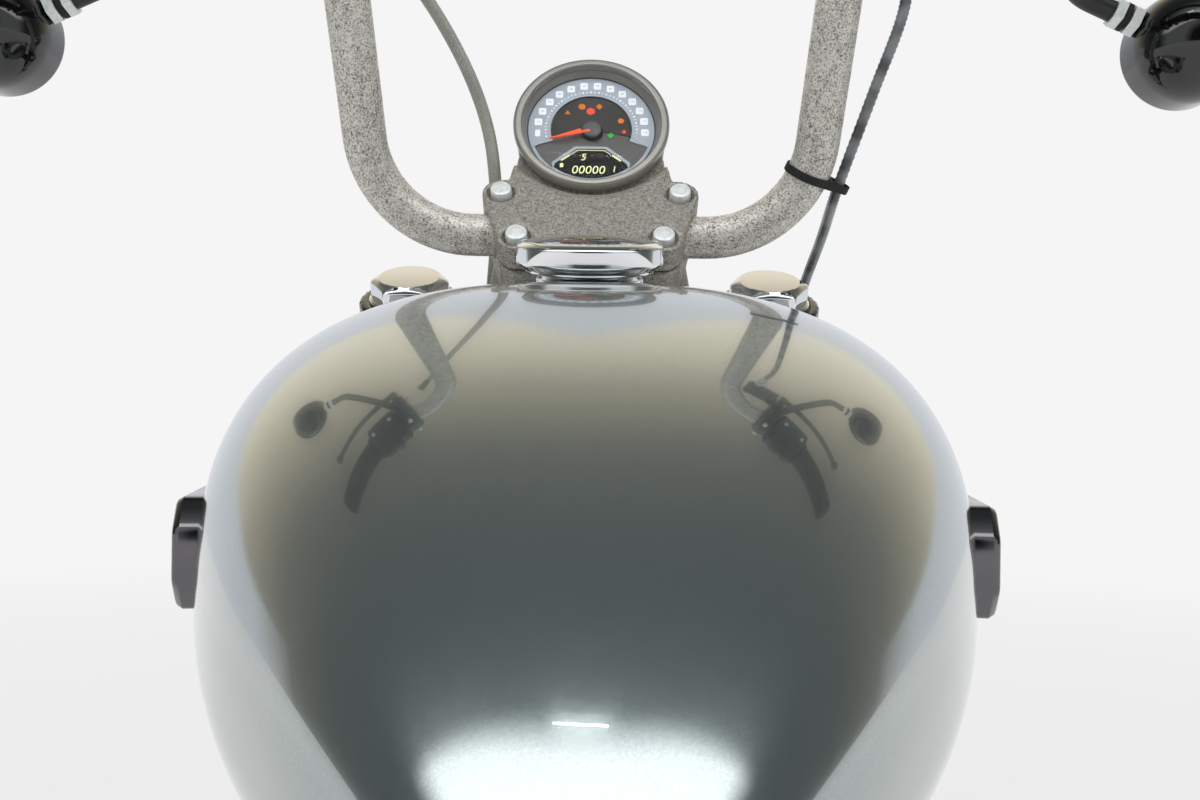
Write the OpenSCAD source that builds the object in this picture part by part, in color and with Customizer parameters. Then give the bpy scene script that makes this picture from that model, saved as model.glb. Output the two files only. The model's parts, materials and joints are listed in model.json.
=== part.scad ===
// Fuel tank and steering assembly of a bobber motorcycle.
// Origin: centre of the cross bolt bore at the rear end of the frame backbone.
// +X to the rider's right, +Y forward, +Z up. All sizes in millimetres.

/* [Steering geometry] */
// Lean of the steering axis back from the vertical
rake = 27; // [25:1:29]
// Handlebar clamp centre ahead of the rear frame bolt
bar_y = 470; // [465:1:480]
// Handlebar clamp centre above the rear frame bolt
bar_z = 270; // [265:1:280]
// Fork tubes, centre to centre
fork_spacing = 230; // [220:1:240]
// Fork tubes ahead of the steering axis
fork_offset = 36; // [33:1:40]
// Handlebar centre ahead of the steering axis
bar_offset = 11; // [8:1:14]
// Handlebar centre above the top face of the upper yoke
riser_h = 52; // [50:1:56]

/* [Frame] */
// Outer diameter of the steering head tube
head_d = 62; // [58:1:66]
// Length of the steering head tube
head_len = 170; // [160:1:180]
// Running gap between the head tube and each yoke
head_gap = 2; // [1:0.5:3]
// Outer diameter of the backbone tube
backbone_d = 54; // [50:1:58]
// Outer diameter of the rear cross tube
cross_d = 44; // [40:1:48]
// Length of the rear cross tube
cross_len = 74; // [64:1:90]
// Bore of the rear cross tube
cross_bore = 16; // [12:1:20]
// Thickness of the two gusset plates
gusset_t = 5; // [4:0.5:7]

/* [Fork] */
// Outer diameter of a fork tube
tube_d = 49; // [45:1:51]
// Wall of a fork tube
tube_wall = 3; // [2:0.5:4]
// Length of a fork tube below the top of the upper yoke
tube_len = 560; // [500:10:620]
// Metal round each tube in the yokes
yoke_wall = 8.5; // [7:0.5:10]
// Thickness of the upper yoke
upper_yoke_t = 24; // [22:1:28]
// Thickness of the lower yoke
lower_yoke_t = 30; // [26:1:34]
// Diameter of the steering stem
stem_d = 26; // [24:1:28]
// Height of the hexagon of a fork cap
cap_hex_h = 11; // [9:1:13]
// Hexagon of a fork cap, across its flats
cap_hex_w = 45; // [43:1:46]

/* [Handlebar] */
// Diameter of the handlebar tube
bar_d = 25.4; // [22.2:0.2:25.4]
// Half width between the lower corners of the bar
bar_corner = 129; // [125:1:135]
// Rise from the clamp to the upper corners
bar_rise = 205; // [195:5:225]
// Lean back of the uprights
bar_lean = 26; // [24:1:28]
// Outward lean of the uprights
bar_flare = 3; // [2:0.5:4]
// Overall width of the bar
bar_width = 790; // [770:5:810]
// Sweep of the grips back from straight across
grip_sweep = 18.5; // [16:0.5:21]
// Fall of the grips towards their ends
grip_fall = 4; // [2:1:6]
// Radius of the lower bends at the tube's centre line
bend_r = 62; // [58:1:66]
// Radius of the upper bends at the tube's centre line
top_bend_r = 52; // [46:1:56]
// Length of a grip
grip_len = 125; // [115:1:130]
// Diameter of a grip
grip_d = 35; // [33:1:38]

/* [Riser and gauge] */
// Lean back of the clamp's split plane normal
clamp_lean = 51; // [48:1:54]
// Half distance between the front clamp bolts
front_bolt_x = 54; // [52:1:56]
// Half distance between the rear clamp bolts
rear_bolt_x = 43; // [41:1:46]
// Half distance between the bolt rows
bolt_row = 19; // [18.5:0.5:20]
// Diameter of a clamp bolt
bolt_d = 8; // [6:1:8]
// Height of the clamp above the bar's centre
clamp_t = 18; // [17:1:20]
// Gauge centre up the clamp plane from the bar
gauge_up = 85; // [83:1:90]
// Gauge face out from the clamp plane
gauge_out = 21; // [19:1:24]
// Further lean back of the gauge face
gauge_lean = 15; // [12:1:18]
// Outer diameter of the gauge bezel
gauge_d = 100; // [96:1:104]
// Depth of the gauge pod
pod_depth = 46; // [42:1:50]

/* [Tank] */
// Length of the tank
tank_len = 415; // [405:5:420]
// Tank nose behind the handlebar centre
tank_nose = 28; // [26:1:40]
// Greatest half width of the tank
tank_half = 171; // [165:1:180]
// Clearance of the tank tunnel round the backbone
tunnel_gap = 7; // [5:1:10]
// Fuel cap centre behind the handlebar centre
cap_back = 87; // [85:1:95]
// Diameter of the fuel cap
cap_d = 78; // [74:1:80]
// Height of the fuel cap
cap_h = 17; // [14:1:18]
// Slope of the cap's plane up to the front
cap_slope = 12; // [10:1:14]
// Inner diameter of the filler neck
neck_bore = 48; // [44:1:50]

/* [Controls] */
// Length of a hand lever
lever_len = 165; // [150:5:175]
// Lever ahead of the bar's centre line
lever_reach = 58; // [54:1:64]
// Diameter of a turn signal
signal_d = 64; // [60:1:68]
// Signal centre out from the middle
signal_x = 335; // [330:1:340]
// Signal centre behind the handlebar clamp
signal_back = 51; // [46:1:56]
// Signal centre above the handlebar clamp
signal_up = 103; // [98:1:108]
// Diameter of the brake hose with its sleeve
hose_d = 7; // [5:0.5:8]
// Diameter of the clutch cable
cable_d = 8; // [6:0.5:9]

/* [Hidden] */
$fn = 64;

// Gap left between seated pieces
seat = 0.1;
// Running clearance of the stem in its bearings
run_gap = 0.05;
eps = 0.01;

yoke_top = -riser_h;
head_top = yoke_top - upper_yoke_t - head_gap;
head_bottom = head_top - head_len;
lower_top = head_bottom - head_gap;
lower_bottom = lower_top - lower_yoke_t;
yoke_r = tube_d / 2 + yoke_wall;
fork_x = fork_spacing / 2;

// Frames of reference: each places its children at a datum of the object
module at_bar() {
    translate([0, bar_y, bar_z]) children();
}

// z along the steering axis, zero at the handlebar's height
module at_steer() {
    at_bar() rotate([rake, 0, 0]) translate([0, -bar_offset, 0]) children();
}

// z out of the clamp's split plane, y up along it
module at_clamp() {
    at_bar() rotate([clamp_lean, 0, 0]) children();
}

module at_gauge() {
    at_clamp() translate([0, gauge_up, gauge_out]) rotate([gauge_lean, 0, 0]) children();
}

// Vector helpers
function unit(v) = v / norm(v);
function steer_point(x, y, z) = [x,
    bar_y + (y - bar_offset) * cos(rake) - z * sin(rake),
    bar_z + (y - bar_offset) * sin(rake) + z * cos(rake)];
function bar_point(x, y, z) = [x, bar_y + y, bar_z + z];

// Places children at p with z along d and y as near to upright as it goes
module look_along(p, d) {
    z = unit(d);
    x = unit(cross([0, 0, 1], z));
    y = cross(z, x);
    multmatrix([
        [x[0], y[0], z[0], p[0]],
        [x[1], y[1], z[1], p[1]],
        [x[2], y[2], z[2], p[2]],
        [0, 0, 0, 1]])
        children();
}

// Angle and length that a bend takes at the corner between two directions
function corner_angle(a, b) = acos(min(1, max(-1, unit(a) * unit(b))));
function bend_setback(a, b, r) = r * tan(corner_angle(a, b) / 2);
// A round bar or cord swept through points, as one closed mesh
function spline_at(p, i, t) =
    let (n = len(p), a = p[max(i - 1, 0)], b = p[i], c = p[min(i + 1, n - 1)], d = p[min(i + 2, n - 1)])
    0.5 * (2 * b + (c - a) * t + (2 * a - 5 * b + 4 * c - d) * t * t + (3 * b - a - 3 * c + d) * t * t * t);
function spline(p, steps) =
    [for (i = [0:len(p) - 2], k = [0:steps - 1]) spline_at(p, i, k / steps), p[len(p) - 1]];
module sweep(path, d, sides, ref) {
    n = len(path);
    rings = [for (i = [0:n - 1])
        let (dir = unit(path[min(i + 1, n - 1)] - path[max(i - 1, 0)]),
            x = unit(cross(ref, dir)), y = cross(dir, x))
        for (k = [0:sides - 1]) path[i] + d / 2 * (cos(360 * k / sides) * x + sin(360 * k / sides) * y)];
    polyhedron(rings, [[for (k = [0:sides - 1]) k], [for (k = [sides - 1:-1:0]) (n - 1) * sides + k],
        for (i = [0:n - 2], k = [0:sides - 1])
            let (a = i * sides + k, b = i * sides + (k + 1) % sides)
            each [[a, a + sides, b + sides], [a, b + sides, b]]]);
}
module cord(points, d) {
    sweep(spline(points, 2), d, 10, [1, 0.2, 0]);
}
// Points along the bend of radius r at corner b between a and c
function bend_points(a, b, c, r, steps) =
    let (u = unit(b - a), v = unit(c - b), angle = corner_angle(u, v),
        inward = cross(unit(cross(u, v)), u),
        centre = b - u * bend_setback(u, v, r) + inward * r)
    [for (k = [0:steps]) centre + r * (sin(angle * k / steps) * u - cos(angle * k / steps) * inward)];

// Frame: raked head tube, backbone under the tank, rear cross tube
ring_h = 14;
ring_d = head_d + 6;
bearing_d = stem_d + 26;
backbone_front = steer_point(0, 0, head_bottom + head_len * 0.56);
backbone_dir = unit(backbone_front);
backbone_span = norm(backbone_front);
function backbone_z(y) = y * backbone_front[2] / backbone_front[1];

module at_backbone() {
    look_along([0, 0, 0], backbone_dir) children();
}

module frame_neck() {
    color([0.05, 0.05, 0.055]) at_steer() difference() {
        union() {
            translate([0, 0, head_bottom]) cylinder(d = head_d, h = head_len);
            for (z = [head_bottom, head_top - ring_h])
                translate([0, 0, z]) cylinder(d = ring_d, h = ring_h);
        }
        translate([0, 0, head_bottom - 1]) cylinder(d = stem_d + 14, h = head_len + 2);
        for (z = [head_bottom - 1, head_top - ring_h])
            translate([0, 0, z]) cylinder(d = bearing_d, h = ring_h + 1);
    }
}

module frame_backbone() {
    color([0.05, 0.05, 0.055]) difference() {
        union() {
            at_backbone() cylinder(d = backbone_d, h = backbone_span);
            rotate([0, 90, 0]) cylinder(d = cross_d, h = cross_len, center = true);
            for (side = [-1, 1]) translate([side * (backbone_d / 2 - gusset_t / 2 - 2), 0, 0])
                rotate([90, 0, 90]) linear_extrude(gusset_t, center = true) polygon([
                    [backbone_front[1] - 150, backbone_z(backbone_front[1] - 150)],
                    [backbone_front[1], backbone_front[2]],
                    [neck_foot[1], neck_foot[2]]]);
        }
        rotate([0, 90, 0]) cylinder(d = cross_bore, h = cross_len + 2, center = true);
        at_steer() translate([0, 0, head_bottom - 1]) cylinder(d = head_d + 2 * seat, h = head_len + 2);
        at_steer() translate([0, 0, head_bottom - 1])
            cylinder(d = ring_d + 2 * seat, h = ring_h + 1 + seat);
        at_tank_bolt(front_mount_y) cylinder(d = mount_bolt_d + 2 * seat, h = 200, center = true);
        at_tank_bolt(rear_mount_y) cylinder(d = mount_bolt_d + 2 * seat, h = 200, center = true);
    }
}
neck_foot = steer_point(0, 0, head_bottom + 18);

module head_bearings() {
    color([0.6, 0.6, 0.62]) at_steer() for (z = [head_bottom, head_top - ring_h])
        translate([0, 0, z]) difference() {
            cylinder(d = bearing_d - 2 * seat, h = ring_h - seat);
            translate([0, 0, -1]) cylinder(d = stem_d + 2 * run_gap, h = ring_h + 2);
        }
}

// Tank sections. Columns: distance back as a share of the length, half width as a share of
// the greatest, then heights of the crown, of the widest line and of the lower edge from the bar
TANK = [
    [0.00, 0.34, -94, -132, -165],
    [0.04, 0.58, -66, -130, -188],
    [0.10, 0.79, -47, -134, -210],
    [0.20, 0.96, -40, -143, -232],
    [0.33, 1.00, -46, -159, -248],
    [0.48, 0.94, -65, -178, -258],
    [0.63, 0.79, -93, -200, -265],
    [0.78, 0.57, -133, -220, -268],
    [0.91, 0.34, -178, -238, -268],
    [1.00, 0.15, -218, -250, -266]];
TANK_RINGS = 22;
TANK_SIDES = 48;
crown_power = 2.55;
belly_power = 2.6;

function slope(i, c) =
    let (a = max(i - 1, 0), b = min(i + 1, len(TANK) - 1))
    (TANK[b][c] - TANK[a][c]) / (TANK[b][0] - TANK[a][0]);
function row_of(t, i = 0) = (i >= len(TANK) - 2 || t < TANK[i + 1][0]) ? i : row_of(t, i + 1);
function tank_col(t, c) =
    let (i = row_of(t), h = TANK[i + 1][0] - TANK[i][0], u = (t - TANK[i][0]) / h,
        a = TANK[i][c], b = TANK[i + 1][c], da = slope(i, c) * h, db = slope(i + 1, c) * h)
    a + da * u + (3 * (b - a) - 2 * da - db) * u * u + (2 * (a - b) + da + db) * u * u * u;
function tank_t(y) = (bar_y - tank_nose - y) / tank_len;
function tank_y(t) = bar_y - tank_nose - t * tank_len;
function curve(v, power) = sign(v) * pow(abs(v), 2 / power);
function tank_point(t, a) =
    let (half = tank_half * tank_col(t, 1), mid = tank_col(t, 3),
        power = sin(a) > 0 ? crown_power : belly_power,
        height = sin(a) > 0 ? tank_col(t, 2) - mid : mid - tank_col(t, 4))
    [half * curve(cos(a), power), tank_y(t), bar_z + mid + height * curve(sin(a), power)];

module tank_shell() {
    ring_t = [for (i = [0:TANK_RINGS]) (1 - cos(180 * i / TANK_RINGS)) / 2];
    points = [for (t = ring_t, k = [0:TANK_SIDES - 1]) tank_point(t, 360 * k / TANK_SIDES)];
    last = TANK_RINGS * TANK_SIDES;
    polyhedron(points, [[for (k = [0:TANK_SIDES - 1]) k], [for (k = [TANK_SIDES - 1:-1:0]) last + k],
        for (i = [0:TANK_RINGS - 1], k = [0:TANK_SIDES - 1])
            let (a = i * TANK_SIDES + k, b = i * TANK_SIDES + (k + 1) % TANK_SIDES)
            each [[a, b + TANK_SIDES, b], [a, a + TANK_SIDES, b + TANK_SIDES]]]);
}

cap_y = bar_y - cap_back;
cap_lift = 10;
cap_z = bar_z + tank_col(tank_t(cap_y), 2) + cap_lift;
neck_d = neck_bore + 9;
neck_len = 34;
module at_cap() {
    translate([0, cap_y, cap_z]) rotate([cap_slope, 0, 0]) children();
}

tunnel_r = backbone_d / 2 + tunnel_gap;
mount_bolt_d = 10;
front_mount_y = bar_y - tank_nose - 60;
rear_mount_y = front_mount_y - 0.69 * tank_len;
module at_tank_bolt(y) {
    translate([0, y, backbone_z(y)]) rotate([0, 90, 0]) children();
}

outlet_x = -72;
outlet_y = bar_y - tank_nose - 250;
outlet_z = bar_z + tank_col(tank_t(outlet_y), 4) + 8;
outlet_d = 66;

module fuel_tank() {
    color([0.32, 0.36, 0.37]) difference() {
        tank_shell();
        at_backbone() translate([0, 0, -60]) cylinder(r = tunnel_r, h = backbone_span + 120);
        at_backbone() translate([-tunnel_r, -400, -60]) cube([2 * tunnel_r, 400, backbone_span + 120]);
        at_cap() translate([0, 0, -neck_len]) cylinder(d = neck_d + 2 * seat, h = 60);
        translate([outlet_x, outlet_y, outlet_z - 60]) cylinder(d = outlet_d + 4, h = 60);
    }
}

module filler_neck() {
    color([0.75, 0.76, 0.78]) at_cap() difference() {
        union() {
            translate([0, 0, -neck_len]) cylinder(d = neck_d, h = neck_len - 2);
            translate([0, 0, -2]) cylinder(d1 = neck_d, d2 = neck_d - 3, h = 2);
        }
        translate([0, 0, -40]) cylinder(d = neck_bore, h = 60);
    }
}

module fuel_cap() {
    r = cap_d / 2;
    top_r = r - 2.4;
    dome = 3.4;
    color([0.85, 0.86, 0.88]) at_cap() {
        rotate_extrude() polygon([[0, 0.3], [r - 7, 0.3], [r - 5, 1.4], [r - 5, 2.4], [r - 3, 3], [r, 5.6],
            [r, cap_h - 2.2], [r - 0.9, cap_h - 0.6],
            each [for (k = [0:8]) [top_r * (1 - k / 8), cap_h + dome * (1 - pow(1 - k / 8, 2))]]]);
        translate([0, 0, -12]) cylinder(d = neck_bore - 1.2, h = 12.3 + eps);
    }
}

badge_len = 92;
badge_h = 48;
badge_t = 10;
badge_root = 24;
badge_end = 14;
badge_y = bar_y - tank_nose - 0.355 * tank_len;
badge_z = bar_z + tank_col(tank_t(badge_y), 3) - 4;
badge_half = tank_point(tank_t(badge_y), 0)[0];
// The badge lies along the tank's side, which runs in towards the rider
badge_turn = atan2(badge_half - tank_point(tank_t(badge_y - badge_len / 2), 0)[0], badge_len / 2);
module tank_badge() {
    long = badge_len / 2;
    high = badge_h / 2;
    color([0.2, 0.2, 0.21]) difference() {
        translate([badge_half, badge_y, badge_z]) rotate([0, 0, -badge_turn])
            translate([-badge_root, 0, 0]) rotate([90, 0, 90]) linear_extrude(badge_root + badge_t)
                polygon([[-long, -high / 2], [badge_end - long, -high], [long - badge_end, -high],
                    [long, -high / 2], [long, high / 2], [long - badge_end, high],
                    [badge_end - long, high], [-long, high / 2]]);
        tank_shell();
    }
}
module tank_badge_left() {
    mirror([1, 0, 0]) tank_badge();
}
module tank_badge_right() {
    tank_badge();
}

bolt_reach = 2 * sqrt(pow(tunnel_r, 2) - pow(mount_bolt_d / 2, 2)) - 2 * seat;
module tank_bolt(y) {
    color([0.1, 0.1, 0.1]) at_tank_bolt(y) {
        cylinder(d = mount_bolt_d, h = bolt_reach, center = true);
        for (side = [0, 1]) mirror([0, 0, side]) translate([0, 0, backbone_d / 2 + seat])
            cylinder(d = 12, h = tunnel_gap - 1);
    }
}
module tank_front_bolt() {
    tank_bolt(front_mount_y);
}
module tank_rear_bolt() {
    tank_bolt(rear_mount_y);
}

module fuel_outlet() {
    color([0.15, 0.15, 0.16]) translate([outlet_x, outlet_y, outlet_z]) {
        translate([0, 0, -6]) cylinder(d = outlet_d, h = 6);
        translate([0, 0, -20]) cylinder(d = 26, h = 15);
        translate([0, 0, -14]) rotate([0, -90, 0]) cylinder(d = 9, h = 34);
        for (i = [0:4]) rotate([0, 0, 72 * i]) translate([outlet_d / 2 - 6, 0, -9])
            cylinder(d = 9, h = 5);
    }
}

// Steering. The fork tubes are turned down a little where the yokes clamp them
clamped_d = tube_d - 1;
shoulder_gap = 2;
leg_run = tube_len - (yoke_top - lower_bottom) - shoulder_gap;
module yoke_body(bottom, height) {
    reach = 0.72 * yoke_r;
    arm = height - 4;
    translate([0, 0, bottom + 2]) linear_extrude(arm) polygon([[-fork_x, fork_offset + reach],
        [-stem_d - 18, 32], [stem_d + 18, 32], [fork_x, fork_offset + reach],
        [fork_x, fork_offset - reach], [stem_d + 4, -24], [-stem_d - 4, -24],
        [-fork_x, fork_offset - reach]]);
    translate([0, 0, bottom + 1]) cylinder(d = stem_d + 40, h = height - 1);
    for (side = [-1, 1]) translate([side * fork_x, fork_offset, bottom]) cylinder(r = yoke_r, h = height);
}
module yoke_bores(bottom, height) {
    for (side = [-1, 1]) translate([side * fork_x, fork_offset, bottom - 1])
        cylinder(d = clamped_d + 2 * seat, h = height + 2);
    translate([0, 0, bottom - 1]) cylinder(d = stem_d + 2 * seat, h = height + 2);
}
riser_foot_x = 44;
riser_foot_y = bar_offset + 8;
riser_bolt_d = 12;
riser_head_d = 16;
riser_head_h = 7;
module upper_yoke() {
    color([0.04, 0.04, 0.045]) at_steer() difference() {
        yoke_body(yoke_top - upper_yoke_t, upper_yoke_t);
        yoke_bores(yoke_top - upper_yoke_t, upper_yoke_t);
        for (side = [-1, 1]) translate([side * riser_foot_x, riser_foot_y, yoke_top - upper_yoke_t - 1])
            cylinder(d = riser_bolt_d + 2 * seat, h = upper_yoke_t + 2);
    }
}
module lower_yoke() {
    color([0.04, 0.04, 0.045]) at_steer() difference() {
        yoke_body(lower_bottom, lower_yoke_t);
        yoke_bores(lower_bottom, lower_yoke_t);
    }
}
module steering_stem() {
    color([0.55, 0.55, 0.57]) at_steer() {
        translate([0, 0, lower_bottom - 2]) cylinder(d = stem_d, h = yoke_top - lower_bottom + 6);
        translate([0, 0, yoke_top + seat]) cylinder(d = 38, h = 9, $fn = 6);
        translate([0, 0, lower_bottom - 3 - seat]) cylinder(d = stem_d + 10, h = 3);
    }
}
module fork_tube(side) {
    color([0.72, 0.73, 0.75]) at_steer() translate([side * fork_x, fork_offset, yoke_top - tube_len])
        difference() {
            union() {
                cylinder(d = tube_d, h = leg_run);
                cylinder(d = clamped_d, h = tube_len);
            }
            translate([0, 0, -1]) cylinder(d = tube_d - 2 * tube_wall, h = tube_len + 2);
        }
}
module fork_tube_left() {
    fork_tube(-1);
}
module fork_tube_right() {
    fork_tube(1);
}
module fork_cap(side) {
    color([0.85, 0.86, 0.88]) at_steer() translate([side * fork_x, fork_offset, yoke_top]) {
        translate([0, 0, 1.5]) rotate([0, 0, 30]) cylinder(d = cap_hex_w / cos(30), h = cap_hex_h, $fn = 6);
        translate([0, 0, seat]) cylinder(d = tube_d + 4, h = 2);
        translate([0, 0, cap_hex_h + 1]) cylinder(d1 = cap_hex_w - 1, d2 = cap_hex_w - 6, h = 3);
        translate([0, 0, -16]) cylinder(d = tube_d - 2 * tube_wall - 2 * seat, h = 17);
    }
}
module fork_cap_left() {
    fork_cap(-1);
}
module fork_cap_right() {
    fork_cap(1);
}

boss_r = 11.5;
module clamp_outline(low, high) {
    hull() for (side = [-1, 1]) {
        translate([side * front_bolt_x, bolt_row, low]) cylinder(r = boss_r, h = high - low, $fn = 32);
        translate([side * rear_bolt_x, -bolt_row, low]) cylinder(r = boss_r, h = high - low, $fn = 32);
    }
}
module bar_bore() {
    rotate([0, 90, 0]) cylinder(d = bar_d + 2 * run_gap, h = 2 * front_bolt_x + 60, center = true);
}
module bolt_places() {
    for (side = [-1, 1]) {
        translate([side * front_bolt_x, bolt_row, 0]) children();
        translate([side * rear_bolt_x, -bolt_row, 0]) children();
    }
}
split = 0.6;
riser_block = 22;
module riser() {
    color([0.34, 0.33, 0.31]) difference() {
        union() {
            at_clamp() clamp_outline(-riser_block, -split);
            for (side = [-1, 1]) hull() {
                at_clamp() translate([side * (front_bolt_x - 16), -1, -riser_block])
                    cylinder(r = 20, h = 6, $fn = 32);
                at_steer() translate([side * riser_foot_x, riser_foot_y, yoke_top + seat])
                    cylinder(r = 21, h = 5, $fn = 32);
            }
            for (side = [-1, 1]) at_steer()
                translate([side * riser_foot_x, riser_foot_y, yoke_top - upper_yoke_t - riser_head_h]) {
                    cylinder(d = riser_bolt_d, h = upper_yoke_t + riser_head_h + 2);
                    cylinder(d = riser_head_d, h = riser_head_h - seat);
                }
        }
        at_clamp() bar_bore();
        at_clamp() bolt_places() translate([0, 0, -16]) cylinder(d = bolt_d + 2 * seat, h = 20);
    }
}

pod_r = gauge_d / 2 - 1;
pod_bore_r = pod_r - 3.5;
pod_floor = 16;
head_d_bolt = 1.6 * bolt_d;
bolt_recess = 5;
module riser_clamp() {
    color([0.36, 0.34, 0.32]) difference() {
        union() {
            at_clamp() clamp_outline(split, clamp_t);
            hull() {
                at_clamp() for (side = [-1, 1]) translate([side * (front_bolt_x - 14), bolt_row, split])
                    cylinder(r = boss_r, h = clamp_t - split, $fn = 32);
                at_gauge() translate([0, -4, -pod_depth + 4])
                    cylinder(r = pod_r - 6, h = pod_depth - 18, $fn = 48);
            }
            at_gauge() rotate_extrude() polygon([[0, -pod_depth], [pod_r - 8, -pod_depth],
                [pod_r - 1, -pod_depth + pod_floor], [pod_r - 1, -8], [0, -8]]);
        }
        at_clamp() bar_bore();
        at_clamp() bolt_places() {
            cylinder(d = bolt_d + 1, h = 60);
            translate([0, 0, clamp_t - bolt_recess]) cylinder(d = head_d_bolt + 4, h = 60);
        }
        at_gauge() translate([0, 0, -pod_depth + pod_floor]) cylinder(r = pod_bore_r, h = pod_depth + 20);
        at_gauge() translate([0, 0, -8]) cylinder(d = gauge_d + 2, h = 60);
        at_clamp() translate([-100, -60, -60])
            cube([200, 60 + bolt_row + boss_r + seat, 60 + split]);
    }
}
module clamp_bolts() {
    color([0.8, 0.8, 0.8]) at_clamp() bolt_places() difference() {
        union() {
            translate([0, 0, -16]) cylinder(d = bolt_d, h = 16 + clamp_t - bolt_recess + 1);
            translate([0, 0, clamp_t - bolt_recess + seat]) cylinder(d = head_d_bolt, h = bolt_d);
        }
        translate([0, 0, clamp_t - bolt_recess + seat + bolt_d - 4])
            cylinder(d = 0.8 * bolt_d, h = 5, $fn = 6);
    }
}
dial_z = -11;
hub_r = 7.5;
hub_h = 4;
module gauge_case() {
    color([0.1, 0.1, 0.1]) at_gauge() translate([0, 0, -pod_depth + pod_floor + seat])
        cylinder(r = pod_bore_r - seat, h = pod_depth - pod_floor + dial_z - 2 * seat);
}
module gauge_dial() {
    color([0.7, 0.75, 0.78]) at_gauge() translate([0, 0, dial_z - seat]) difference() {
        cylinder(r = pod_bore_r - 2, h = 1.5);
        translate([0, 0, 0.8]) cylinder(r = 27, h = 1);
    }
}
module gauge_needle() {
    color([0.85, 0.25, 0.1]) at_gauge() translate([0, 0, dial_z + 0.8]) {
        cylinder(r = hub_r, h = hub_h);
        rotate([0, 0, 198]) translate([0, -0.8, hub_h - 1.4]) cube([4 * hub_r - 1, 1.6, 0.8]);
    }
}
module gauge_glass() {
    color([0.8, 0.85, 0.9, 0.3]) at_gauge() translate([0, 0, -2.6]) cylinder(r = pod_bore_r - 1.5, h = 1.4);
}
module gauge_bezel() {
    outer = gauge_d / 2;
    inner = pod_bore_r - 1.5 + seat;
    color([0.5, 0.5, 0.49]) at_gauge() rotate_extrude() polygon([
        [inner, -5.2], [inner, -0.4], [inner + 1, 0], [outer - 3, 0],
        [outer - 0.8, -1], [outer, -3], [outer, -6.5], [outer - 1.5, -8 + seat],
        [pod_bore_r + 0.2, -8 + seat], [pod_bore_r + 0.2, -5.2]]);
}

// Handlebar path
bar_back = bar_rise * tan(bar_lean);
upper_corner = bar_point(bar_corner + bar_rise / cos(bar_lean) * tan(bar_flare), -bar_back, bar_rise);
grip_dir = [cos(grip_sweep) * cos(grip_fall), -sin(grip_sweep) * cos(grip_fall), -sin(grip_fall)];
bar_end = upper_corner + grip_dir * (bar_width / 2 - upper_corner[0]) / grip_dir[0];
function left(p) = [-p[0], p[1], p[2]];
module handlebar() {
    lower_corner = bar_point(bar_corner, 0, 0);
    half_bar = [each bend_points(left(lower_corner), lower_corner, upper_corner, bend_r, 9),
        each bend_points(lower_corner, upper_corner, bar_end, top_bend_r, 9), bar_end];
    path = [for (i = [len(half_bar) - 1:-1:0]) left(half_bar[i]), each half_bar];
    color([0.42, 0.41, 0.38]) sweep(path, bar_d, 24, [0, cos(bar_lean), sin(bar_lean)]);
}
// s inward from the right bar end, z outward along the bar, x forward, y up
module on_bar(side, s) {
    mirror([side < 0 ? 1 : 0, 0, 0]) look_along(bar_end - grip_dir * s, grip_dir) children();
}
function on_bar_point(s, x, y) =
    let (fore = unit(cross([0, 0, 1], grip_dir)))
    bar_end - grip_dir * s + fore * x + cross(grip_dir, fore) * y;
module bar_hole() {
    translate([0, 0, -200]) cylinder(d = bar_d + 2 * seat, h = 400);
}
module grip(side) {
    color([0.04, 0.04, 0.04]) on_bar(side, grip_len) difference() {
        union() {
            cylinder(d = grip_d, h = grip_len);
            cylinder(d = grip_d + 8, h = 5);
            translate([0, 0, grip_len]) cylinder(d1 = grip_d + 2, d2 = grip_d - 4, h = 5);
        }
        translate([0, 0, -1]) cylinder(d = bar_d + 2 * seat, h = grip_len + 1 + seat);
    }
}
module grip_left() {
    grip(-1);
}
module grip_right() {
    grip(1);
}
switch_len = 60;
switch_s = grip_len + switch_len + 1;
module switch_housing(side) {
    color([0.05, 0.05, 0.05]) on_bar(side, switch_s) difference() {
        union() {
            hull() {
                cylinder(r = 21, h = switch_len, $fn = 48);
                translate([12, -12, 4]) cylinder(r = 14, h = switch_len - 8, $fn = 32);
                translate([-10, 6, 4]) cylinder(r = 16, h = switch_len - 8, $fn = 32);
            }
            translate([-16, -10, 10]) rotate([0, -90, 0]) cylinder(d = 14, h = 12);
            translate([-18, 6, 26]) rotate([0, -90, 0]) cylinder(d = 18, h = 9);
        }
        bar_hole();
    }
}
module switch_left() {
    switch_housing(-1);
}
module switch_right() {
    switch_housing(1);
}
perch_len = 24;
perch_s = switch_s + perch_len + 0.6;
perch_r = 19;
ear_y = 17.5;
ear_d = 9.2;
pivot_x = lever_reach - 20;
knuckle_x = lever_reach + 2;
pivot_y = -6;
pivot_d = 8;
module perch(side) {
    color([0.05, 0.05, 0.05]) on_bar(side, perch_s) difference() {
        union() {
            cylinder(r = perch_r, h = perch_len);
            for (y = [-ear_y, ear_y]) translate([-6.6, y, perch_len / 2]) rotate([0, -90, 0]) {
                cylinder(d = ear_d, h = 8.4);
                cylinder(d = 0.7 * ear_d, h = 12.4);
            }
            hull() {
                translate([8, -4, 3]) cylinder(r = 13, h = perch_len - 6, $fn = 32);
                translate([pivot_x, pivot_y, 3]) cylinder(r = 10, h = perch_len - 6, $fn = 32);
            }
        }
        bar_hole();
        translate([pivot_x, pivot_y - 30, 7]) translate([-13, 0, 0]) cube([40, 60, 10.4]);
        translate([pivot_x, pivot_y, -1]) cylinder(d = pivot_d + 2 * seat, h = perch_len + 2);
    }
}
module clutch_perch() {
    perch(-1);
}
module brake_perch() {
    perch(1);
}
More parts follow.
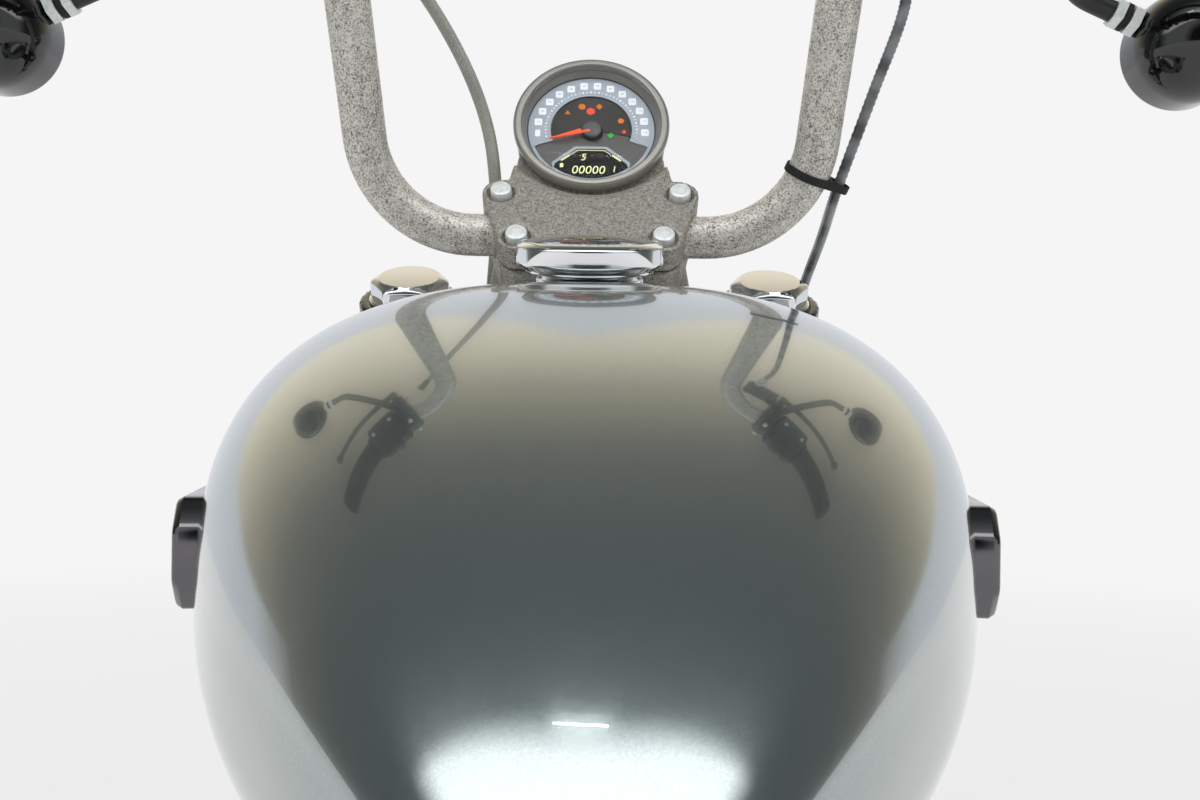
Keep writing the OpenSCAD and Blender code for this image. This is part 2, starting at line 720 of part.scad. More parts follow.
module hand_lever(side) {
    color([0.06, 0.06, 0.06]) on_bar(side, perch_s) {
        translate([pivot_x, pivot_y, 0]) cylinder(d = pivot_d, h = perch_len);
        translate([pivot_x, pivot_y, 7.4]) cylinder(r = 9, h = 9.6);
        hull() {
            translate([pivot_x, pivot_y, 7.4]) cylinder(r = 8, h = 9.6, $fn = 32);
            translate([knuckle_x, pivot_y, 7.4]) cylinder(r = 7, h = 9.6, $fn = 32);
        }
        hull() {
            translate([knuckle_x, pivot_y, 7.4]) cylinder(r = 7, h = 9.6, $fn = 32);
            translate([lever_reach, pivot_y - 2, 60]) sphere(r = 6, $fn = 20);
        }
        hull() {
            translate([lever_reach, pivot_y - 2, 60]) sphere(r = 6, $fn = 20);
            translate([lever_reach - 4, pivot_y - 4, lever_len]) sphere(r = 5.5, $fn = 20);
        }
        translate([lever_reach - 4, pivot_y - 4, lever_len]) sphere(r = 8);
    }
}
module clutch_lever() {
    hand_lever(-1);
}
module brake_lever() {
    hand_lever(1);
}
master_x = 36;
master_y = -22;
master_len = 46;
module master_cylinder() {
    color([0.05, 0.05, 0.055]) on_bar(1, perch_s) {
        translate([master_x, master_y, -master_len]) cylinder(r = 14, h = master_len - seat);
        translate([master_x, master_y, -master_len + 12]) rotate([90, 0, 0])
            cylinder(d = 12, h = 27 - seat);
    }
}

// Brake hose and clutch cable, points chosen along their real routes
tie_reach = 20;
flat_bend_x = bar_corner - bend_setback([1, 0, 0], [tan(bar_flare), 0, 1], bend_r);
tie_angle = 69;
tie_centre = [flat_bend_x + bend_r * sin(tie_angle), bend_r * (1 - cos(tie_angle))];
tie_hole = tie_centre + tie_reach * [sin(tie_angle), -cos(tie_angle)];
hose_x = 52;
cable_x = -50;
line_y = 54;
HOSE = [on_bar_point(perch_s + master_len - 12, master_x, master_y - 27.8),
    bar_point(171, -65, 118), bar_point(160, -44, 78),
    bar_point(tie_hole[0], -tie_hole[1] * sin(bar_lean), tie_hole[1] * cos(bar_lean)),
    bar_point(146, 30, 5), bar_point(143, 66, -18), bar_point(138, 92, -46), bar_point(134, 114, -92),
    bar_point(116, 144, -150), steer_point(hose_x + 14, line_y + 6, lower_top + 46),
    steer_point(hose_x, line_y, lower_top + 22), steer_point(hose_x, line_y, lower_top + 6.3)];
CABLE = [bar_point(-186, -70, 200), bar_point(-160, -36, 196), bar_point(-130, 0, 178),
    bar_point(-104, 24, 151), bar_point(-81, 34, 113), bar_point(-67, 39, 77), bar_point(-61, 38, 41),
    bar_point(-61, 48, 0), bar_point(-64, 66, -45), steer_point(-58, line_y, -140),
    steer_point(cable_x, line_y, -200), steer_point(cable_x, line_y, lower_top + 6.3)];
module brake_hose() {
    color([0.25, 0.26, 0.28]) cord(HOSE, hose_d);
}
module clutch_cable() {
    color([0.2, 0.2, 0.2]) cord(CABLE, cable_d);
}
module line_end(x) {
    color([0.1, 0.1, 0.1]) at_steer() difference() {
        union() {
            translate([x, line_y, lower_top - 18]) cylinder(d = 13, h = 24 - seat);
            translate([x - 9, 20, lower_top - 20]) cube([18, line_y - 12, 8]);
        }
        yoke_body(lower_bottom, lower_yoke_t);
    }
}
module hose_block() {
    line_end(hose_x);
}
module cable_guide() {
    line_end(cable_x);
}
module cable_tie() {
    color([0.03, 0.03, 0.03]) at_bar() rotate([bar_lean, 0, 0]) translate([tie_centre[0], 0, tie_centre[1]])
        rotate([0, 90 - tie_angle, 0]) difference() {
            hull() {
                translate([0, 0, -2.5]) cylinder(r = bar_d / 2 + 1.6, h = 5, $fn = 48);
                translate([tie_reach, 0, -2.5]) cylinder(r = hose_d / 2 + 3, h = 5, $fn = 32);
            }
            translate([0, 0, -4]) cylinder(r = bar_d / 2 + 0.5, h = 8);
            translate([tie_reach, 0, -4]) cylinder(r = hose_d / 2 + 2, h = 8);
        }
}

module at_signal(side) {
    at_bar() translate([side * signal_x, -signal_back, signal_up]) rotate([-90, 0, 0]) children();
}
module signal_housing(side) {
    r = signal_d / 2;
    color([0.03, 0.03, 0.03]) at_signal(side) difference() {
        rotate_extrude() polygon(concat([[0, -r]], [for (a = [10:10:90]) [r * sin(a), -r * cos(a)]],
            [[r, 16], [r - 3, 18], [0, 18]]));
        translate([0, 0, 14]) cylinder(r = r - 3, h = 10);
    }
}
module signal_left() {
    signal_housing(-1);
}
module signal_right() {
    signal_housing(1);
}
module signal_lens(side) {
    r = signal_d / 2 - 3 - seat;
    color([0.9, 0.45, 0.05]) at_signal(side) rotate_extrude()
        polygon(concat([[0, 14 + seat], [r, 14 + seat]],
            [for (a = [0:15:90]) [r * cos(a), 18 + 8 * sin(a)]]));
}
module signal_lens_left() {
    signal_lens(-1);
}
module signal_lens_right() {
    signal_lens(1);
}
stalk_d = 12;
stalk_foot_s = perch_s - perch_len / 2;
module signal_stalk(side) {
    centre = bar_point(signal_x, -signal_back, signal_up);
    knee = centre + [-62, 0, 28];
    foot = on_bar_point(stalk_foot_s, 0, -perch_r - seat);
    drop = on_bar_point(stalk_foot_s, 0, -perch_r - 16);
    tip = centre + unit(knee - centre) * (signal_d / 2 + seat);
    color([0.08, 0.08, 0.08]) mirror([side < 0 ? 1 : 0, 0, 0])
        sweep([foot, each bend_points(foot, drop, knee, 14, 4),
            each bend_points(drop, knee, tip, 20, 3), tip], stalk_d, 16, [0, 1, 0]);
}
module signal_stalk_left() {
    signal_stalk(-1);
}
module signal_stalk_right() {
    signal_stalk(1);
}

frame_neck();
frame_backbone();
head_bearings();
fuel_tank();
filler_neck();
tank_badge_left();
tank_badge_right();
tank_front_bolt();
tank_rear_bolt();
fuel_outlet();
fuel_cap();
steering_stem();
upper_yoke();
lower_yoke();
fork_tube_left();
fork_tube_right();
fork_cap_left();
fork_cap_right();
riser();
riser_clamp();
clamp_bolts();
gauge_case();
gauge_bezel();
gauge_dial();
gauge_needle();
gauge_glass();
handlebar();
grip_left();
grip_right();
switch_left();
switch_right();
clutch_perch();
clutch_lever();
brake_perch();
master_cylinder();
brake_lever();
brake_hose();
hose_block();
clutch_cable();
cable_guide();
cable_tie();
signal_left();
signal_right();
signal_lens_left();
signal_lens_right();
signal_stalk_left();
signal_stalk_right();
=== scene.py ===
import json
import math

import bmesh
import bpy
from mathutils import Matrix, Vector
from mathutils.kdtree import KDTree


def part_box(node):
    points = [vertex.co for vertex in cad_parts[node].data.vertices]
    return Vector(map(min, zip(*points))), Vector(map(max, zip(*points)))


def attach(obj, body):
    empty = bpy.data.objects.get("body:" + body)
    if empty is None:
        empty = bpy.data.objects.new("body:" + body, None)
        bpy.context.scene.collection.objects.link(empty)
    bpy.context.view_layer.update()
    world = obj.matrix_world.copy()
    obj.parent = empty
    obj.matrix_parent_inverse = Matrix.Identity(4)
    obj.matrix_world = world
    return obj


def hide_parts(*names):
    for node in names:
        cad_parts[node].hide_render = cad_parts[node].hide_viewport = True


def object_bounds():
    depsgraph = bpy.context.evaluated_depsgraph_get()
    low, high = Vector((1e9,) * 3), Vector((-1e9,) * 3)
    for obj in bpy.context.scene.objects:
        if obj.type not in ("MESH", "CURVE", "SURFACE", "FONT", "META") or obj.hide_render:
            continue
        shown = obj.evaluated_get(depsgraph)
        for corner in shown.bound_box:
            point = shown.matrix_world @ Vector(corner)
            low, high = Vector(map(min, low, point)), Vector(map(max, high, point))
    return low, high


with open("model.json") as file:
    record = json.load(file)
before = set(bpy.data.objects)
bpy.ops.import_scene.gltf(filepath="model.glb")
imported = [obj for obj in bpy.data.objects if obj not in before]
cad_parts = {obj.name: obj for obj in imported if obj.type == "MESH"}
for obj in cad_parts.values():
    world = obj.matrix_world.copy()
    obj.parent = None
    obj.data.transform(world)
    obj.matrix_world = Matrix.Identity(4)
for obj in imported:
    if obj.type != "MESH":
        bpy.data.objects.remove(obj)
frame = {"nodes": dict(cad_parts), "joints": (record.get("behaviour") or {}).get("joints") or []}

# Dresses the tank and steering assembly of a bobber motorcycle: painted tank, textured bar and
# riser, gauge, controls, hoses and signals. Every mesh is in metres in the frame's own axes:
# +X to the rider's right, +Y forward, +Z up.

bl_info = {
    "name": "Bobber Tank and Steering",
    "version": (1, 0, 0),
    "blender": (4, 5, 0),
    "location": "View3D > Sidebar > Bobber",
    "description": "Builds the finished surfaces of a tank and steering assembly round its frame",
    "category": "Object",
}

MM = 0.001
NODES = frame["nodes"]
HINGES = {joint["name"]: joint for joint in frame["joints"]}
CAD_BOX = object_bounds()


def to_linear(hex_colour):
    """A colour written as #rrggbb in sRGB, as linear RGBA."""
    channels = [int(hex_colour[i:i + 2], 16) / 255 for i in (1, 3, 5)]
    return [c / 12.92 if c <= 0.04045 else ((c + 0.055) / 1.055) ** 2.4 for c in channels] + [1.0]


# Datums of the object, read from the frame where it has them
BAR_D = 25.4
BAR_OFFSET = 11
CLAMP_LEAN = 51
GAUGE_UP, GAUGE_OUT, GAUGE_LEAN = 85, 21, 15
BAR_LOW, BAR_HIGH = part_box("handlebar")
BAR_CENTRE = Vector((0, BAR_HIGH.y - BAR_D / 2 * MM, BAR_LOW.z + BAR_D / 2 * MM))
RAKE = math.degrees(math.asin(-HINGES["steering_head"]["axis"][1]))
CAP_SLOPE = math.degrees(math.asin(-HINGES["fuel_cap_turn"]["axis"][1]))


def shift(x, y, z):
    """A move in millimetres."""
    return Matrix.Translation((x * MM, y * MM, z * MM))


def lean(degrees, axis="X"):
    return Matrix.Rotation(math.radians(degrees), 4, axis)


AT_BAR = Matrix.Translation(BAR_CENTRE)
AT_STEER = AT_BAR @ lean(RAKE) @ shift(0, -BAR_OFFSET, 0)
AT_CLAMP = AT_BAR @ lean(CLAMP_LEAN)
AT_GAUGE = AT_CLAMP @ shift(0, GAUGE_UP, GAUGE_OUT) @ lean(GAUGE_LEAN)
AT_CAP = Matrix.Translation(HINGES["fuel_cap_turn"]["pos_m"]) @ lean(CAP_SLOPE)
MIRROR = Matrix.Diagonal((-1, 1, 1, 1))

# Handlebar's path: corners and directions in millimetres from the clamp's centre
BAR_CORNER, BAR_RISE, BAR_LEAN, BAR_FLARE, BAR_WIDTH = 129, 205, 26, 3, 790
GRIP_SWEEP, GRIP_FALL, BEND_R, TOP_BEND_R = 18.5, 4, 62, 52
GRIP_LEN, GRIP_D = 125, 35


def cosd(a):
    return math.cos(math.radians(a))


def sind(a):
    return math.sin(math.radians(a))


def tand(a):
    return math.tan(math.radians(a))


UPPER_CORNER = Vector((BAR_CORNER + BAR_RISE / cosd(BAR_LEAN) * tand(BAR_FLARE), -BAR_RISE * tand(BAR_LEAN), BAR_RISE))
GRIP_DIR = Vector((cosd(GRIP_SWEEP) * cosd(GRIP_FALL), -sind(GRIP_SWEEP) * cosd(GRIP_FALL), -sind(GRIP_FALL)))
BAR_END = UPPER_CORNER + GRIP_DIR * (BAR_WIDTH / 2 - UPPER_CORNER.x) / GRIP_DIR.x


def on_bar(side, s):
    """Datum s inward from a bar end: z out along the bar, x forward, y up."""
    fore = Vector((0, 0, 1)).cross(GRIP_DIR).normalized()
    up = GRIP_DIR.cross(fore)
    place = AT_BAR @ Matrix.Translation((BAR_END - GRIP_DIR * s) * MM)
    turn = Matrix((fore, up, GRIP_DIR)).transposed().to_4x4()
    return (MIRROR if side < 0 else Matrix.Identity(4)) @ place @ turn


# Shapes

class Shape:
    """Vertices and faces of one piece, collected from parts in millimetres."""

    def __init__(self):
        self.verts = []
        self.faces = []
        self.marks = []

    def add(self, part, place=None, mark=0):
        verts, faces = part
        start = len(self.verts)
        place = place or Matrix.Identity(4)
        flip = place.to_3x3().determinant() < 0
        self.verts += [place @ (Vector(v) * MM) for v in verts]
        for face in faces:
            run = [start + i for i in (reversed(face) if flip else face)]
            self.faces.append(run)
            self.marks.append(mark)
        return self


def revolved(profile, count=96):
    """A profile of (radius, height) turned round Z."""
    verts, faces, rings = [], [], []
    for r, z in profile:
        size = count if r > 1e-6 else 1
        rings.append(range(len(verts), len(verts) + size))
        for k in range(size):
            a = 2 * math.pi * k / count
            verts.append((r * math.cos(a), r * math.sin(a), z))
    for low, high in zip(rings, rings[1:]):
        for k in range(count):
            n = (k + 1) % count
            quad = [low[k % len(low)], low[n % len(low)], high[n % len(high)], high[k % len(high)]]
            face = list(dict.fromkeys(quad))
            if len(face) > 2:
                faces.append(face)
    return verts, faces


def softened(points, radius, steps=4):
    """A profile whose inner corners are rounded off, each by at most a third of its sides."""
    out = [points[0]]
    for before, corner, after in zip(points, points[1:], points[2:]):
        b, c, a = Vector(before), Vector(corner), Vector(after)
        r = min(radius, (b - c).length / 2.2, (a - c).length / 2.2)
        start, end = c + (b - c).normalized() * r, c + (a - c).normalized() * r
        for k in range(steps + 1):
            t = k / steps
            out.append(tuple(start * (1 - t) ** 2 + c * 2 * t * (1 - t) + end * t * t))
    out.append(points[-1])
    return out


def swept(path, radius, sides=24, squash=1.0, up=Vector((0, 1, 0.3))):
    """A round or oval bar through points. radius is a number or one number a point."""
    path = [Vector(p) for p in path]
    verts, faces, n = [], [], len(path)
    side = None
    for i, p in enumerate(path):
        along = (path[min(i + 1, n - 1)] - path[max(i - 1, 0)]).normalized()
        side = (side or up).cross(along).cross(along) * -1 if side else up.cross(along)
        side.normalize()
        other = along.cross(side)
        r = radius[i] if isinstance(radius, (list, tuple)) else radius
        for k in range(sides):
            a = 2 * math.pi * k / sides
            verts.append(p + side * (r * math.cos(a)) + other * (r * squash * math.sin(a)))
    for i in range(n - 1):
        for k in range(sides):
            a, b = i * sides + k, i * sides + (k + 1) % sides
            faces.append([a, b, b + sides, a + sides])
    faces.append(list(range(sides - 1, -1, -1)))
    faces.append([(n - 1) * sides + k for k in range(sides)])
    return verts, faces


def spline(points, steps=8):
    """A smooth curve through the points."""
    p = [Vector(q) for q in points]
    out = []
    for i in range(len(p) - 1):
        a, b, c, d = p[max(i - 1, 0)], p[i], p[i + 1], p[min(i + 2, len(p) - 1)]
        for k in range(steps):
            t = k / steps
            out.append(0.5 * (2 * b + (c - a) * t + (2 * a - 5 * b + 4 * c - d) * t ** 2
                              + (3 * b - a - 3 * c + d) * t ** 3))
    return out + [p[-1]]


def bend(a, b, c, r, steps=20):
    """Points along the arc of radius r that rounds corner b between a and c."""
    u, v = (b - a).normalized(), (c - b).normalized()
    angle = u.angle(v)
    inward = u.cross(v).normalized().cross(u)
    centre = b - u * (r * math.tan(angle / 2)) + inward * r
    return [centre + r * (math.sin(angle * k / steps) * u - math.cos(angle * k / steps) * inward)
            for k in range(steps + 1)]


def prism(outline, low, high, inset=0.0):
    """A polygon raised from low to high, with its top edge chamfered by inset."""
    n = len(outline)
    middle = Vector((sum(p[0] for p in outline) / n, sum(p[1] for p in outline) / n))
    rings = [(low, 0), (high - inset, 0), (high, inset)]
    verts = []
    for z, cut in rings:
        for x, y in outline:
            away = Vector((x, y)) - middle
            p = middle + away * (1 - cut / max(away.length, 1e-6))
            verts.append((p.x, p.y, z))
    faces = [list(range(n - 1, -1, -1)), [2 * n + k for k in range(n)]]
    for ring in range(2):
        for k in range(n):
            a, b = ring * n + k, ring * n + (k + 1) % n
            faces.append([a, b, b + n, a + n])
    return verts, faces


def regular(count, radius, turn=0.0):
    return [(radius * cosd(360 * k / count + turn), radius * sind(360 * k / count + turn)) for k in range(count)]


def rounded_box(wide, deep, corner, steps=5):
    """Outline of a rectangle with round corners."""
    out = []
    for cx, cy, start in ((1, 1, 0), (-1, 1, 90), (-1, -1, 180), (1, -1, 270)):
        for k in range(steps + 1):
            a = start + 90 * k / steps
            out.append((cx * (wide / 2 - corner) + corner * cosd(a), cy * (deep / 2 - corner) + corner * sind(a)))
    return out


def piece(name, body, shape, finishes, replaces=(), crease=32):
    """Makes the shape an object with its materials, on its body and in place of its nodes."""
    mesh = bpy.data.meshes.new(name)
    mesh.from_pydata([tuple(v) for v in shape.verts], [], shape.faces)
    for finish in (finishes if isinstance(finishes, (list, tuple)) else [finishes]):
        mesh.materials.append(finish)
    mesh.polygons.foreach_set("material_index", shape.marks)
    work = bmesh.new()
    work.from_mesh(mesh)
    bmesh.ops.recalc_face_normals(work, faces=work.faces)
    work.to_mesh(mesh)
    work.free()
    return mesh_piece(name, body, mesh, replaces, crease)


def mesh_piece(name, body, mesh, replaces=(), crease=32):
    mesh.polygons.foreach_set("use_smooth", [True] * len(mesh.polygons))
    mesh.set_sharp_from_angle(angle=math.radians(crease))
    obj = bpy.data.objects.new(name, mesh)
    bpy.context.scene.collection.objects.link(obj)
    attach(obj, body)
    if replaces:
        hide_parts(*replaces)
    return obj


def applied(obj):
    """The object's mesh with its modifiers applied. The object is deleted."""
    graph = bpy.context.evaluated_depsgraph_get()
    mesh = bpy.data.meshes.new_from_object(obj.evaluated_get(graph))
    bpy.data.objects.remove(obj)
    return mesh


def cast_copy(name, body, node, finish, grain=1.0, passes=4, scoop=None):
    """A node's form with every edge rounded, as a casting leaves the mould: remeshed, then relaxed."""
    mesh = NODES[node].data.copy()
    work = bmesh.new()
    work.from_mesh(mesh)
    bmesh.ops.remove_doubles(work, verts=work.verts, dist=0.00001)
    work.to_mesh(mesh)
    work.free()
    obj = bpy.data.objects.new(name + "_work", mesh)
    bpy.context.scene.collection.objects.link(obj)
    if scoop:
        cut = obj.modifiers.new("scoop", "BOOLEAN")
        cut.operation, cut.object, cut.solver = "DIFFERENCE", scoop, "MANIFOLD"
    remesh = obj.modifiers.new("grain", "REMESH")
    remesh.mode = "VOXEL"
    remesh.voxel_size = grain * MM
    relax = obj.modifiers.new("relax", "SMOOTH")
    relax.factor = 0.5
    relax.iterations = passes
    mesh = applied(obj)
    if scoop:
        bpy.data.objects.remove(scoop)
    mesh.materials.clear()
    mesh.materials.append(finish)
    return mesh_piece(name, body, mesh, [node], crease=60)


# Materials

def add_node(tree, kind, settings=None, **inputs):
    """Adds a node with its settings. An input is a value, or a socket to link from."""
    node = tree.nodes.new(kind)
    for key, value in (settings or {}).items():
        setattr(node, key, value)
    for key, value in inputs.items():
        socket = node.inputs[int(key[1:])] if key[1:].isdigit() else node.inputs[key.replace("_", " ")]
        if isinstance(value, bpy.types.NodeSocket):
            tree.links.new(value, socket)
        else:
            socket.default_value = value
    return node


def start_material(name, **values):
    """A new node material: its tree, its shader and the object coordinates in metres."""
    material = bpy.data.materials.new(name)
    material.use_nodes = True
    tree = material.node_tree
    shader = tree.nodes["Principled BSDF"]
    for key, value in values.items():
        shader.inputs[key.replace("_", " ")].default_value = value
    place = add_node(tree, "ShaderNodeTexCoord").outputs["Object"]
    return material, tree, shader, place


def per_metre(size_mm):
    """Scale of a texture whose features are size_mm apart."""
    return 1 / (size_mm * MM)


def grain_noise(tree, place, size_mm, detail=2.0, rough=0.5):
    return add_node(tree, "ShaderNodeTexNoise", Vector=place, Scale=per_metre(size_mm), Detail=detail,
                    Roughness=rough).outputs["Fac"]


def ramp(tree, fac, stops):
    """Colours by a factor, from (position, hex) stops."""
    node = add_node(tree, "ShaderNodeValToRGB", i0=fac)
    elements = node.color_ramp.elements
    while len(elements) < len(stops):
        elements.new(0.5)
    for element, (position, colour) in zip(elements, stops):
        element.position = position
        element.color = to_linear(colour)
    return node.outputs["Color"]


def grade(tree, fac, low, high, start=0.0, end=1.0):
    """A factor from start to end, as a number from low to high."""
    return add_node(tree, "ShaderNodeMapRange", i0=fac, i1=start, i2=end, i3=low, i4=high).outputs["Result"]


def bump(tree, shader, height, depth_mm, strength=1.0):
    normal = add_node(tree, "ShaderNodeBump", Height=height, Distance=depth_mm * MM, Strength=strength)
    tree.links.new(normal.outputs["Normal"], shader.inputs["Normal"])


def plug(tree, value, shader, name):
    tree.links.new(value, shader.inputs[name])


def metallic_clearcoat(name, base, dark):
    """Metallic car paint under lacquer: aluminium flake gives a soft wide glow, the lacquer a sharp reflection."""
    material, tree, shader, place = start_material(
        name, Metallic=0.85, Coat_Weight=1.0, Coat_Roughness=0.01, Coat_IOR=2.2)
    # real flake is 0.05 mm: drawn at 0.5 mm so that it still shows
    flake = add_node(tree, "ShaderNodeTexVoronoi", Vector=place, Scale=per_metre(0.5)).outputs["Color"]
    cloud = grain_noise(tree, place, 9.0, detail=3)
    shine = add_node(tree, "ShaderNodeSeparateColor", i0=flake).outputs[0]
    colour = ramp(tree, grade(tree, shine, 0.25, 0.75), [(0.0, dark), (1.0, base)])
    plug(tree, colour, shader, "Base Color")
    plug(tree, grade(tree, cloud, 0.15, 0.19), shader, "Roughness")
    return material


def vein_coat(name, light, mid, dark, grain_mm, metal=0.55):
    """Vein powder coat: a metallic grey skin that pulls into dark pits as it cures, rough to the touch."""
    material, tree, shader, place = start_material(name, Metallic=metal)
    fine = grain_noise(tree, place, grain_mm, detail=3, rough=0.65)
    patch = grain_noise(tree, place, grain_mm * 5, detail=2)
    both = add_node(tree, "ShaderNodeMath", {"operation": "MULTIPLY_ADD"}, i0=patch, i1=0.25, i2=fine).outputs[0]
    colour = ramp(tree, both, [(0.46, dark), (0.58, mid), (0.72, light)])
    plug(tree, colour, shader, "Base Color")
    plug(tree, grade(tree, both, 0.62, 0.36, 0.5, 0.85), shader, "Roughness")
    bump(tree, shader, both, 0.12, 0.5)
    return material


def plated(name, colour, roughness, swirl=0.02):
    """Chrome plate or polished steel: a clean mirror, with faint polishing swirl in its roughness."""
    material, tree, shader, place = start_material(name, Metallic=1.0, Base_Color=to_linear(colour))
    wear = grain_noise(tree, place, 6.0, detail=4)
    plug(tree, grade(tree, wear, roughness, roughness + swirl), shader, "Roughness")
    return material


def brushed(name, light, dark, roughness, grain_mm=0.4, metal=1.0):
    """Satin metal, fine turned: a soft band of light with fine grain across it."""
    material, tree, shader, place = start_material(name, Metallic=metal)
    fine = grain_noise(tree, place, grain_mm, detail=2)
    plug(tree, ramp(tree, fine, [(0.3, dark), (0.7, light)]), shader, "Base Color")
    plug(tree, grade(tree, fine, roughness - 0.04, roughness + 0.06), shader, "Roughness")
    bump(tree, shader, fine, 0.02, 0.3)
    return material


def zinc_plate(name, light, dark):
    """Pale zinc plate with a clear passivate: milky, not mirror-like, a little blue in its shade."""
    material, tree, shader, place = start_material(name, Metallic=0.25)
    cloud = grain_noise(tree, place, 2.5, detail=4)
    plug(tree, ramp(tree, cloud, [(0.3, dark), (0.65, light)]), shader, "Base Color")
    plug(tree, grade(tree, cloud, 0.3, 0.45), shader, "Roughness")
    return material


def gloss_black(name, colour, roughness=0.06):
    """Black powder coat or moulded gloss plastic under lacquer: deep, with a faint orange peel."""
    material, tree, shader, place = start_material(name, Coat_Weight=0.6, Coat_Roughness=0.03)
    peel = grain_noise(tree, place, 1.6, detail=1)
    plug(tree, ramp(tree, peel, [(0.3, "#050506"), (0.7, colour)]), shader, "Base Color")
    plug(tree, grade(tree, peel, roughness, roughness + 0.05), shader, "Roughness")
    bump(tree, shader, peel, 0.01, 0.12)
    return material


def moulded(name, light, dark, roughness, grain_mm, depth=0.05):
    """Moulded rubber or ABS from a spark-eroded tool: even fine grain that breaks up the shine."""
    material, tree, shader, place = start_material(name)
    fine = grain_noise(tree, place, grain_mm, detail=3, rough=0.6)
    worn = grain_noise(tree, place, 22.0, detail=3)
    both = add_node(tree, "ShaderNodeMath", {"operation": "MULTIPLY_ADD"}, i0=worn, i1=0.5, i2=fine).outputs[0]
    plug(tree, ramp(tree, both, [(0.5, dark), (0.95, light)]), shader, "Base Color")
    plug(tree, grade(tree, both, roughness - 0.07, roughness + 0.08, 0.4, 1.0), shader, "Roughness")
    bump(tree, shader, fine, depth, 0.5)
    return material


def printed(name, colour, roughness=0.45, glow=0.0):
    """Screen-printed ink on a dial: flat and even, with the faintest mottle, lit a little from behind."""
    material, tree, shader, place = start_material(name, Roughness=roughness, Specular_IOR_Level=0.12)
    fine = grain_noise(tree, place, 0.8, detail=2)
    rgb = to_linear(colour)
    shade = [c * 0.9 for c in rgb[:3]] + [1.0]
    mix = add_node(tree, "ShaderNodeMix", {"data_type": "RGBA"}, i0=fine)
    mix.inputs[6].default_value = shade
    mix.inputs[7].default_value = rgb
    plug(tree, mix.outputs[2], shader, "Base Color")
    if glow:
        plug(tree, mix.outputs[2], shader, "Emission Color")
        shader.inputs["Emission Strength"].default_value = glow
    return material


def clear_plastic(name, colour, roughness, weight, ior=1.49):
    """Acrylic: clear or tinted, moulded smooth."""
    material, tree, shader, place = start_material(
        name, Base_Color=to_linear(colour), Transmission_Weight=weight, IOR=ior)
    fine = grain_noise(tree, place, 3.0)
    plug(tree, grade(tree, fine, roughness, roughness + 0.02), shader, "Roughness")
    return material


def braided_sleeve(name, light, dark, pitch_mm):
    """Clear ribbed sleeve over a dark hose: bright rings of painted highlight stand for the light that each rib
    catches, over random patches of tone.
    """
    material, tree, shader, place = start_material(name, Coat_Weight=0.8, Coat_Roughness=0.12)
    # painted highlight: light bands along Z are laid into the colour where the ribs would catch the light
    painted_rib_highlight = add_node(tree, "ShaderNodeTexWave", {"bands_direction": "Z", "wave_profile": "SIN"}, Vector=place,
                    Scale=per_metre(pitch_mm) / 20, Distortion=0.6, Detail=1.0).outputs["Fac"]
    patch = grain_noise(tree, place, 16.0, detail=2)
    both = add_node(tree, "ShaderNodeMath", {"operation": "MULTIPLY_ADD"}, i0=painted_rib_highlight, i1=0.3, i2=patch).outputs[0]
    plug(tree, ramp(tree, both, [(0.45, dark), (0.75, light)]), shader, "Base Color")
    plug(tree, grade(tree, patch, 0.3, 0.45), shader, "Roughness")
    return material


FINISH = {}


